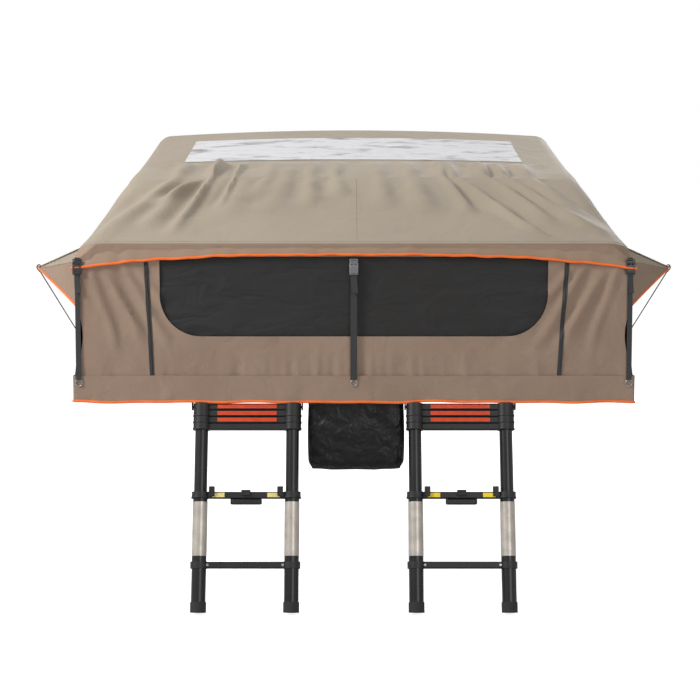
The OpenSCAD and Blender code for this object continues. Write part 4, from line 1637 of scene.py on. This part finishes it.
def cylinder(place: Sequence[float], radius: float, depth: float, vertices: int, **settings: object) -> Piece:
    """Starts a hard piece as a cylinder, upright unless it is turned.

    Args:
        place: Its middle, in mm.
        radius: Its radius, in mm.
        depth: Its height, in mm.
        vertices: The number of its sides.
        settings: Further settings of Blender's cylinder.

    Returns:
        The cylinder, with its place in its mesh.
    """
    bpy.ops.object.select_all(action="DESELECT")
    bpy.ops.mesh.primitive_cylinder_add(
        vertices=vertices, radius=radius * MM, depth=depth * MM, location=tuple(c * MM for c in place), **settings
    )
    obj = bpy.context.object
    bpy.ops.object.transform_apply(location=True, rotation=True, scale=False)
    return obj


def pick(obj: Piece, way: Sequence[float], near: float = 0.9) -> None:
    """Enters edit mode with only the largest face that looks one way selected.

    Args:
        obj: The piece.
        way: The direction.
        near: Least cosine between the face's normal and the direction.
    """
    choose(obj)
    bpy.ops.object.mode_set(mode="EDIT")
    bpy.ops.mesh.select_all(action="DESELECT")
    bpy.ops.mesh.select_mode(type="FACE")
    bpy.ops.object.mode_set(mode="OBJECT")
    faces = [f for f in obj.data.polygons if sum(a * b for a, b in zip(f.normal, way)) > near]
    max(faces, key=lambda f: f.area).select = True
    bpy.ops.object.mode_set(mode="EDIT")


def recess(obj: Piece, way: Sequence[float], rim: float, depth: float) -> None:
    """Insets the largest face that looks one way, and pushes it in, or out for a negative depth.

    Args:
        obj: The piece.
        way: The face's direction.
        rim: Width of the rim that stays, in mm.
        depth: The depth, in mm.
    """
    pick(obj, way)
    bpy.ops.mesh.inset(thickness=rim * MM)
    move = tuple(-depth * MM * w for w in way)
    bpy.ops.mesh.extrude_region_move(TRANSFORM_OT_translate={"value": move})
    bpy.ops.object.mode_set(mode="OBJECT")


def join(name: str, parts: Sequence[Piece]) -> Piece:
    """Joins parts into one piece.

    Args:
        name: The piece's name.
        parts: The parts, of which the first one stays.

    Returns:
        The piece.
    """
    choose(*parts)
    if len(parts) > 1:
        bpy.ops.object.join()
    obj = bpy.context.object
    obj.name = obj.data.name = name
    return obj


@dataclass
class Straps:
    """The three webbing straps of the front wall with their buckles.

    Attributes:
        width: Width of the middle strap.
        corner_width: Width of the outer straps.
        thick: Thickness of the webbing.
        inset: How far the outer straps' middles lie inside their node's box.
    """

    width: float = 28 * MM
    corner_width: float = 22 * MM
    thick: float = 2.4 * MM
    inset: float = 15 * MM

    def _webbing(self, x: float, width: float) -> list[Array]:
        """Lays one strap from its ring up to the eave, with its loop at the ring and its free tail.

        Args:
            x: The strap's middle.
            width: Its width.

        Returns:
            The strap's grids.
        """
        low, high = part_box("front_straps")
        y = (low.y + high.y) / 2
        u = np.linspace(-1, 1, 7)[None, :]
        z = np.linspace(low.z + 1 * MM, high.z, 61)[:, None]
        bow = 1.2 * MM * np.sin(np.pi * (z - low.z) / (high.z - low.z))
        strap = grid_of(x + u * width / 2, y - bow, z)
        z = np.linspace(low.z - 3 * MM, low.z + 55 * MM, 21)[:, None]
        lap = grid_of(x + u * width / 2, y - 3.2 * MM + 0 * z, z)
        z = np.linspace(high.z - 150 * MM, high.z - 66 * MM, 25)[:, None]
        swing = 5 * MM * ((high.z - 66 * MM - z) / (84 * MM)) ** 2
        tail = grid_of(x + u * width / 2.1 + swing, y - 4 * MM - swing, z)
        return [strap, lap, tail]

    def _buckle(self, name: str, x: float) -> Piece:
        """Models one side-release buckle: the body, the two-pronged half and the bars that hold the webbing.

        Args:
            name: The piece's name.
            x: The buckle's middle.

        Returns:
            The buckle.
        """
        low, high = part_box("strap_buckles")
        x, front, back, top, foot = x / MM, low.y / MM, high.y / MM, high.z / MM, low.z / MM
        body = block("body", (x - 19, front + 1.5, foot), (x + 19, back, foot + 38), 3.0)
        recess(body, (0, -1, 0), 6, 1.2)
        recess(body, (0, -1, 0), 3, -1.0)
        parts = [body]
        for side in (-1, 1):
            at = x + side * 15.5
            prong = block("prong", (at - 4, front + 3, foot + 20), (at + 4, back - 2, foot + 46), 2.2)
            recess(prong, (side, 0, 0), 1.6, 0.8)
            parts.append(prong)
        yoke = block("yoke", (x - 17, front + 2, foot + 41), (x + 17, back - 1, top - 7), 2.2)
        recess(yoke, (0, -1, 0), 3.4, 1.6)
        parts += [yoke, block("bar", (x - 18.5, front + 3.5, top - 5), (x + 18.5, back - 1, top), 1.8)]
        for step in (0, 33.5):
            low_end, high_end = (x - 18.5 + step, front + 4, top - 9), (x - 15 + step, back - 2, top - 3)
            parts.append(block("rib", low_end, high_end, 0.9))
        parts += [block("tongue", (x - 4, front + 2.5, foot + 36), (x + 4, back - 3, foot + 43), 1.4)]
        parts += [block("foot_bar", (x - 19, front + 4, foot - 5), (x + 19, back - 1, foot - 0.5), 1.8)]
        for step in (0, 34):
            low_end, high_end = (x - 19 + step, front + 4, foot - 4), (x - 15 + step, back - 2, foot + 4)
            parts.append(block("foot_rib", low_end, high_end, 0.9))
        return dress(join(name, parts), ACETAL_GREY if x == 0 else ACETAL, 35)

    def build(self) -> list[Piece]:
        """Makes the straps, and the buckles that ride on the eave bow.

        Returns:
            The pieces.
        """
        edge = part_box("front_straps")[1].x - self.inset
        made = []
        for name, x in (("left", -edge), ("centre", 0.0), ("right", edge)):
            grids = self._webbing(x, self.width if x == 0 else self.corner_width)
            strap = cloth_piece(name + "_strap", grids, WEBBING, self.thick)
            lay_sheet(grids)
            follow_angle(strap, 180.0, EAVE_FRONT.phi)
            buckle = self._buckle(name + "_buckle", x)
            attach(buckle, "front_eave_bow")
            made += [strap, buckle]
        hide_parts("front_straps")
        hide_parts("strap_buckles")
        return made


@dataclass
class ShoeBag:
    """The shoe bag that hangs below the front edge, a slack nylon pouch on two tabs.

    Attributes:
        mouth: Height of its rim.
        shift: How far it hangs off the middle.
        tab_x: Distance of a tab from the middle.
        tab_w: Width of a tab.
    """

    mouth: float = 4 * MM
    shift: float = 10 * MM
    tab_x: float = 140 * MM
    tab_w: float = 30 * MM

    def build(self) -> list[Piece]:
        """Makes the pouch as a lofted shell with its rolled rim, wrinkles and tabs.

        Returns:
            The pouch and its rim.
        """
        low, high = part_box("shoe_bag")
        half, middle = high.x + 6 * MM, (low.y + high.y) / 2
        deep = (high.y - low.y) / 2 - 3 * MM
        v, turn = np.linspace(0, 1, 65)[:, None], np.linspace(0, 2 * np.pi, 193)[None, :]
        z = self.mouth + (low.z - 8 * MM - self.mouth) * v
        closing = np.sqrt(np.clip(1 - smooth(v, 0.8, 1.0) ** 2, 0, 1))
        depth = deep * (0.55 + 0.45 * smooth(v, 0.0, 0.5)) * closing + 0.2 * MM
        width = half * (0.985 + 0.02 * np.sin(np.pi * v)) * (1 - 0.07 * smooth(v, 0.84, 1.0) ** 2)
        c, s = np.cos(turn), np.sin(turn)
        x = width * np.sign(c) * np.abs(c) ** 0.26
        y = middle + depth * np.sign(s) * np.abs(s) ** 0.5
        sag = 7 * MM * (x / half) ** 4 * smooth(v, 0.5, 1.0)
        sag = sag + 2 * MM * ripple(x, 63, 0.4, 0.09, 5) * smooth(v, 0.7, 1.0)
        wrinkle = ripple(0.8 * x + z, 61, 0.3, 0.05) * 2.2 * MM + ripple(x - 0.7 * z, 62, 0.24, 0.06) * 1.6 * MM
        front = (s < 0) * smooth(np.abs(s), 0.0, 0.5) * smooth(v, 0.04, 0.2) * closing
        y = np.maximum(y - front * wrinkle, low.y - 4 * MM)
        shell = grid_of(x + self.shift, y, z + sag)
        grids = [shell]
        for side in (-1, 1):
            u, k = np.linspace(-1, 1, 5)[None, :], np.linspace(0, 1, 15)[:, None]
            face = middle - 0.62 * deep - 2.2 * MM
            tab_y = face + (low.y + 2 * MM - face) * 0.2 + 0 * k
            tab_z = self.mouth - 45 * MM + (high.z - 1 * MM - self.mouth + 45 * MM) * k
            grids.append(grid_of(side * self.tab_x + u * self.tab_w / 2, tab_y, tab_z))
        bag = cloth_piece("shoe_bag_pouch", grids, NYLON)
        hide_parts("shoe_bag")
        lay_sheet(grids)
        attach(bag, "folding_half")
        rim = tube_piece("shoe_bag_rim", [shell[0]], 3 * MM, WEBBING)
        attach(rim, "folding_half")
        return [bag, rim]


@dataclass
class Mattress:
    """One half of the mattress, a foam pad in a sewn cover.

    Attributes:
        name: The piece's name.
        node: The node that it replaces.
        body: The body that it lies on.
        crown: How far its top domes up.
        pull: How far its sides draw in.
        quilt: Spacing of its quilting.
    """

    name: str
    node: str
    body: str
    crown: float = 5 * MM
    pull: float = 9 * MM
    quilt: float = 0.145

    def build(self) -> list[Piece]:
        """Makes the crowned pad and the piping round its upper edge.

        Returns:
            The pad and its piping.
        """
        low, high = (np.array(c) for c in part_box(self.node))
        pad = block(self.name, low / MM + 4, (high - [0, 0, self.crown]) / MM - np.array([4, 4, 0]), 0)
        choose(pad)
        bpy.ops.object.mode_set(mode="EDIT")
        bpy.ops.mesh.select_all(action="SELECT")
        bpy.ops.mesh.subdivide(number_cuts=31)
        bpy.ops.object.mode_set(mode="OBJECT")
        place = np.empty(len(pad.data.vertices) * 3)
        pad.data.vertices.foreach_get("co", place)
        p = place.reshape(-1, 3)
        middle, half = (low + high) / 2, (high - low) / 2
        q = (p - middle) / half
        waist = np.sin(np.pi * np.clip((p[:, 2] - low[2]) / (high[2] - low[2]), 0, 1))
        for axis, other in ((0, 1), (1, 0)):
            bow = self.pull * (1 - q[:, other] ** 2) - 5 * MM * waist
            p[:, axis] -= np.sign(q[:, axis]) * bow * np.abs(q[:, axis]) ** 8
        dome = (1 - np.abs(q[:, 0]) ** 6) * (1 - np.abs(q[:, 1]) ** 6)
        quilt = np.sin(p[:, 0] / self.quilt * np.pi) ** 2 * np.sin(p[:, 1] / self.quilt * np.pi) ** 2
        p[:, 2] += (q[:, 2] > 0.6) * (self.crown * dome * (0.55 + 0.45 * quilt) - 3 * MM * (1 - dome))
        pad.data.vertices.foreach_set("co", p.ravel())
        apply_modifier(pad, "SUBSURF", levels=1, render_levels=1)
        dress(pad, MATTRESS_CLOTH, 60)
        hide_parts(self.node)
        turn = np.linspace(0, 2 * np.pi, 241)
        ring = np.stack([np.cos(turn), np.sin(turn)], axis=-1)
        ring = np.sign(ring) * np.abs(ring) ** 0.12 * (half[:2] - self.pull)
        line = np.c_[ring + middle[:2], np.full(241, high[2] - self.crown - 6 * MM)]
        piping = tube_piece(self.name + "_piping", [line], 3 * MM, HEM_CLOTH)
        for piece in (pad, piping):
            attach(piece, self.body)
        return [pad, piping]


@dataclass
class LadderTrim:
    """The trim of one telescopic ladder: grips, collar lips, button plate, stickers, labels, rivets and catches.

    Attributes:
        side: The ladder's name.
        sticker: Finish of its stickers.
        lean: Its lean at rest, in degrees.
        stack: Spacing of its stacked rungs, in mm.
        step_1: Distance from its pivot to its second step, in mm.
        low_rung: Distance from its pivot to its lowest rung, in mm.
        rail: Distance from its middle to a rail's axis, in mm.
        rail_r: Radius of its lowest rails, in mm.
    """

    side: str
    sticker: Finish
    lean: float = 17.0
    stack: float = 28.5
    step_1: float = 377.5
    low_rung: float = 669.5
    rail: float = 193.0
    rail_r: float = 30.5

    def _place(self, obj: Piece, finish: Finish, section: int) -> Piece:
        """Moves a piece from the ladder's own axes to its place, dresses it and lets it ride.

        Args:
            obj: The piece, with its place along the ladder in its mesh.
            finish: Its finish.
            section: The ladder section that carries it.

        Returns:
            The piece.
        """
        pivot = next(j["pos_m"] for j in frame["joints"] if j["name"] == f"ladder_{self.side}_swing")
        obj.data.transform(Matrix.Translation(pivot) @ Matrix.Rotation(math.radians(-self.lean), 4, "X"))
        dress(obj, finish, 35)
        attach(obj, f"ladder_{self.side}_section_{section}")
        return obj

    def _grip(self, section: int) -> Piece:
        """Models the orange grip strip on one of the stacked rungs, with its three tread lines.

        Args:
            section: The ladder section that carries it.

        Returns:
            The strip.
        """
        w = self.stack * (5 - section)
        strip = block("strip", (-126, -20.5, -w - 8.5), (126, -16.8, -w + 8.0), 1.4)
        recess(strip, (0, -1, 0), 2.2, 0.7)
        lines = [block("line", (-122, -20.8, z - w - 0.9), (122, -19.2, z - w + 0.9), 0.5) for z in (-4.2, -0.2, 3.8)]
        return self._place(join(f"{self.side}_grip_{section}", [strip, *lines]), GRIP_ORANGE, section)

    def _stickers(self) -> Piece:
        """Models the two bare stickers on the second step's front.

        Returns:
            Both as one piece.
        """
        both = []
        for at in (-116, 116):
            low, high = (at - 26, -17.9, -self.step_1 - 9.5), (at + 26, -16.9, -self.step_1 + 9.5)
            patch = block("patch", low, high, 0.35, 2)
            recess(patch, (0, -1, 0), 1.5, 0.2)
            both.append(patch)
        return self._place(join(f"{self.side}_stickers", both), self.sticker, 1)

    def _labels(self) -> Piece:
        """Models the bare foil labels wrapped round the front of the lower rails.

        Returns:
            Both as one piece.
        """
        both = []
        for at in (-self.rail, self.rail):
            wrap = cylinder((at, 0, -519), self.rail_r + 0.35, 226, 96, end_fill_type="NOTHING")
            bpy.ops.object.mode_set(mode="EDIT")
            bpy.ops.mesh.select_all(action="SELECT")
            bpy.ops.mesh.bisect(plane_co=(at * MM, 6 * MM, 0), plane_no=(0, 1, 0), clear_outer=True)
            bpy.ops.object.mode_set(mode="OBJECT")
            apply_modifier(wrap, "SOLIDIFY", thickness=0.35 * MM, offset=1.0, use_rim=True)
            both.append(wrap)
        return self._place(join(f"{self.side}_labels", both), LABEL_FOIL, 1)

    def _studs(self) -> list[Piece]:
        """Models the rivets of the low rung and the catch blocks on the second step.

        Returns:
            The rivets and the catches.
        """
        rivets = []
        for at in (-157, 157):
            rivet = cylinder((at, -18, -self.low_rung), 6, 3, 32, rotation=(math.pi / 2, 0, 0))
            apply_modifier(rivet, "BEVEL", width=1.2 * MM, segments=3, limit_method="ANGLE")
            recess(rivet, (0, -1, 0), 2.6, 0.8)
            rivets.append(rivet)
        catches = []
        for side in (-1, 1):
            near, far = sorted((side * 131, side * 156))
            catch = block("catch", (near, -28, -self.step_1 + 6), (far, -17.6, -self.step_1 + 36), 2.6)
            recess(catch, (0, 0, 1), 2.5, 2)
            recess(catch, (0, -1, 0), 4, 1.5)
            seat = block("seat", (near + 1, -26.5, -self.step_1 - 6), (far - 1, -16.8, -self.step_1 + 13), 2.0)
            catches += [catch, seat]
        return [
            self._place(join(f"{self.side}_rivets", rivets), ZINC_STEEL, 1),
            self._place(join(f"{self.side}_catches", catches), MOULDED_BLACK, 1),
        ]

    def _handle_grip(self) -> Piece:
        """Models the moulded grip round the carry handle's bar.

        Returns:
            The grip.
        """
        foot = -self.step_1 - 39
        grip = block("grip", (-61, -10.5, foot), (61, 10.5, foot + 24.4), 6.0, 5)
        recess(grip, (0, -1, 0), 4, 1.2)
        recess(grip, (0, 1, 0), 4, 1.2)
        return self._place(join(f"{self.side}_handle_grip", [grip]), MOULDED_BLACK, 1)

    def _button_cap(self) -> Piece:
        """Models the thumb plate of the release button, which stands in front of the step.

        Returns:
            The plate.
        """
        cap = block("cap", (-19.5, -26.5, -self.step_1 - 3), (19.5, -20.6, -self.step_1 + 21), 2.0)
        recess(cap, (0, -1, 0), 4, 1.2)
        made = self._place(join(f"{self.side}_button_cap", [cap]), RUBBER, 1)
        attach(made, f"ladder_{self.side}_button")
        return made

    def _lips(self, section: int) -> Piece:
        """Models the raised lips round the lower edges of one section's two collars.

        Args:
            section: The ladder section that carries them.

        Returns:
            Both as one piece.
        """
        w = self.step_1 if section == 1 else self.stack * (5 - section)
        both = []
        for at in (-self.rail, self.rail):
            ring = cylinder((at, 0, -w - 9.5), self.rail_r + 5.7, 7, 72, end_fill_type="NOTHING")
            apply_modifier(ring, "SOLIDIFY", thickness=2.4 * MM, offset=1.0, use_rim=True)
            apply_modifier(ring, "BEVEL", width=0.8 * MM, segments=2, limit_method="ANGLE")
            both.append(ring)
        return self._place(join(f"{self.side}_lips_{section}", both), MOULDED_BLACK, section)

    def build(self) -> list[Piece]:
        """Makes all the ladder's trim.

        Returns:
            The pieces.
        """
        grips = [self._grip(k) for k in (5, 4, 3)]
        lips = [self._lips(k) for k in (4, 3, 2, 1)]
        others = [self._handle_grip(), self._button_cap(), self._stickers(), self._labels()]
        return [*grips, *lips, *others, *self._studs()]


class Hardware:
    """The finishes of the solid parts that stay as the frame has them.

    Attributes:
        FINISHES: Finishes by a word of the part's name.
    """

    FINISHES = {
        "frame": BARE_ALUMINIUM, "bow": BARE_ALUMINIUM, "channel": BARE_ALUMINIUM, "floor": FLOOR_PANEL,
        "bracket": ZINC_STEEL, "pin": ZINC_STEEL, "strap_rings": ZINC_STEEL, "rods": SPRING_STEEL,
        "ladder_brackets": ANODISED, "rails": ANODISED, "rung": MOULDED_BLACK, "handle": MOULDED_BLACK,
        "button": MOULDED_BLACK, "feet": RUBBER,
    }

    @classmethod
    def dress(cls) -> int:
        """Gives each solid part its finish by the longest such word in its name.

        Returns:
            The number of parts.
        """
        done = 0
        for name, obj in frame["nodes"].items():
            words = [word for word in cls.FINISHES if word in name]
            if words:
                dress(obj, cls.FINISHES[max(words, key=len)], 35)
                done += 1
        return done


@dataclass(frozen=True)
class Lamp:
    """An area lamp that looks at the tent.

    Attributes:
        place: Where it stands, in metres.
        size: Its edge, in metres.
        power: Its power, in watts.
        AIM: The point that it looks at.
    """

    place: tuple[float, float, float]
    size: float
    power: float

    AIM = (0.0, -0.9, 0.25)

    def build(self, name: str) -> None:
        """Adds the lamp and turns it to the tent.

        Args:
            name: The lamp's name.
        """
        light = bpy.data.lights.new(name, "AREA")
        light.size, light.energy = self.size, self.power
        obj = bpy.data.objects.new(name, light)
        obj.location = self.place
        aim = Vector(self.AIM) - Vector(self.place)
        obj.rotation_euler = aim.to_track_quat("-Z", "Y").to_euler()
        bpy.context.scene.collection.objects.link(obj)


class Studio:
    """The camera, the soft light, the pale floor and the white surround.

    Attributes:
        CAMERA: The camera's place; TILT is how far it looks down in degrees, LENS and SENSOR are in mm.
        LAMPS: The lamps by name.
        AMBIENT: Strength of the surround's light on the tent.
        FLOOR: The floor's colour; GLOW is the light that makes it white to the camera.
    """

    CAMERA = (-0.016, -8.275, 0.747)
    TILT = 4.54
    LENS = 77.8
    SENSOR = 36.0
    LAMPS = {
        "key": Lamp((-5.4, -4.2, 4.2), 1.8, 430),
        "fill": Lamp((3.0, -8.0, 2.2), 3.0, 110),
        "top": Lamp((0.6, 0.8, 6.2), 3.0, 80),
        "rear": Lamp((3.6, 5.6, 3.6), 3.0, 190),
    }
    AMBIENT = 0.2
    FLOOR = "#F4F4F4"
    GLOW = 0.86

    def camera(self) -> None:
        """Sets the camera at the photograph's viewpoint."""
        data = bpy.data.cameras.new("camera")
        data.lens, data.sensor_width = self.LENS, self.SENSOR
        obj = bpy.data.objects.new("camera", data)
        obj.location = self.CAMERA
        obj.rotation_euler = (math.radians(90 - self.TILT), 0, 0)
        bpy.context.scene.collection.objects.link(obj)
        bpy.context.scene.camera = obj

    def light(self) -> None:
        """Adds the lamps, and a world that is white to the camera and soft to the tent."""
        for name, lamp in self.LAMPS.items():
            lamp.build(name)
        world = bpy.data.worlds.new("studio")
        world.use_nodes = True
        tree = world.node_tree
        tree.nodes.clear()
        path = add_node(tree, "ShaderNodeLightPath")
        seen = path.outputs["Is Camera Ray"]
        for ray in ("Is Glossy Ray", "Is Transmission Ray"):
            either = add_node(tree, "ShaderNodeMath", {"operation": "MAXIMUM"}, {0: seen, 1: path.outputs[ray]})
            seen = either.outputs[0]
        level = add_node(tree, "ShaderNodeMapRange", {}, {"Value": seen, "To Min": self.AMBIENT, "To Max": 1.0})
        back = add_node(tree, "ShaderNodeBackground", {}, {"Strength": level.outputs["Result"]})
        add_node(tree, "ShaderNodeOutputWorld", {}, {"Surface": back.outputs[0]})
        back.inputs["Color"].default_value = (1, 1, 1, 1)
        bpy.context.scene.world = world
        bpy.context.scene.view_settings.view_transform = "Standard"

    def floor(self) -> None:
        """Lays a pale floor under the ladders' feet, which shows as white but keeps the shadow."""
        low = min(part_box("ladder_left_feet")[0].z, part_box("ladder_right_feet")[0].z)
        bpy.ops.object.select_all(action="DESELECT")
        bpy.ops.mesh.primitive_plane_add(size=60, location=(0, 0, 0))
        floor = bpy.context.object
        floor.name = floor.data.name = "studio_floor"
        floor.data.transform(Matrix.Translation((0, 0, low - 0.5 * MM)))
        paint = bpy.data.materials.new("matt_white_paper")
        paint.use_nodes = True
        tree = paint.node_tree
        tree.nodes.clear()
        path = add_node(tree, "ShaderNodeLightPath")
        paper = add_node(tree, "ShaderNodeBsdfDiffuse", {}, {"Color": linear(self.FLOOR)})
        glow = add_node(tree, "ShaderNodeEmission", {}, {"Color": linear("#FFFFFF"), "Strength": self.GLOW})
        both = add_node(tree, "ShaderNodeAddShader", {}, {0: paper.outputs[0], 1: glow.outputs[0]})
        pick_seen = add_node(tree, "ShaderNodeMixShader", {}, {
            0: path.outputs["Is Camera Ray"], 1: paper.outputs[0], 2: both.outputs[0]})
        add_node(tree, "ShaderNodeOutputMaterial", {}, {"Surface": pick_seen.outputs[0]})
        floor.data.materials.append(paint)


def main() -> None:
    """Builds the tent's pieces in order, then the studio."""
    logging.basicConfig(level=logging.INFO, format="%(name)s: %(message)s")
    studio = Studio()
    studio.camera()
    carried = FlyFolds.over_the_bow(MID_FRONT.flat() / EAVE_FRONT.flat(), 0.34)
    slopes = [
        FlyPanel(
            "fly_front_cloth", "fly_front", EAVE_FRONT, MID_FRONT, FlyFolds.FRONT,
            runs_on=(False, True), stitched=True,
        ),
        FlyPanel(
            "fly_front_top_cloth", "fly_front_top", MID_FRONT, RIDGE, carried,
            window=Skylight.opening(), runs_on=(True, False),
        ),
        FlyPanel("fly_rear_top_cloth", "fly_rear_top", RIDGE, MID_REAR, FlyFolds.fan(72, 800, 9, 4)),
        FlyPanel("fly_rear_cloth", "fly_rear", MID_REAR, EAVE_REAR, FlyFolds.fan(73, 1000, 16, 7)),
    ]
    parts = [
        *slopes, Skylight(slopes[1]),
        Valance("front_valance", slopes[0], at_front=True), Valance("rear_valance", slopes[3], at_front=False),
        FrontWall(), SideWalls(), RearWall(), HingeGussets(), TipHooks(),
        Skirt("front_skirt_cloth", "front_skirt", "folding_half", at_front=True),
        Skirt("rear_skirt_cloth", "rear_skirt", "base", at_front=False),
        Straps(), ShoeBag(), LadderTrim("left", STICKER_PALE), LadderTrim("right", STICKER_BRIGHT),
        Mattress("fixed_mattress_pad", "fixed_mattress", "base"),
        Mattress("folding_mattress_pad", "folding_mattress", "folding_half"),
    ]
    for part in parts:
        for piece in part.build():
            LOG.info("%s: %d faces", piece.name, len(piece.data.polygons))
    LOG.info("solid parts dressed: %d", Hardware.dress())
    studio.light()
    studio.floor()


if __name__ == "__main__":
    main()
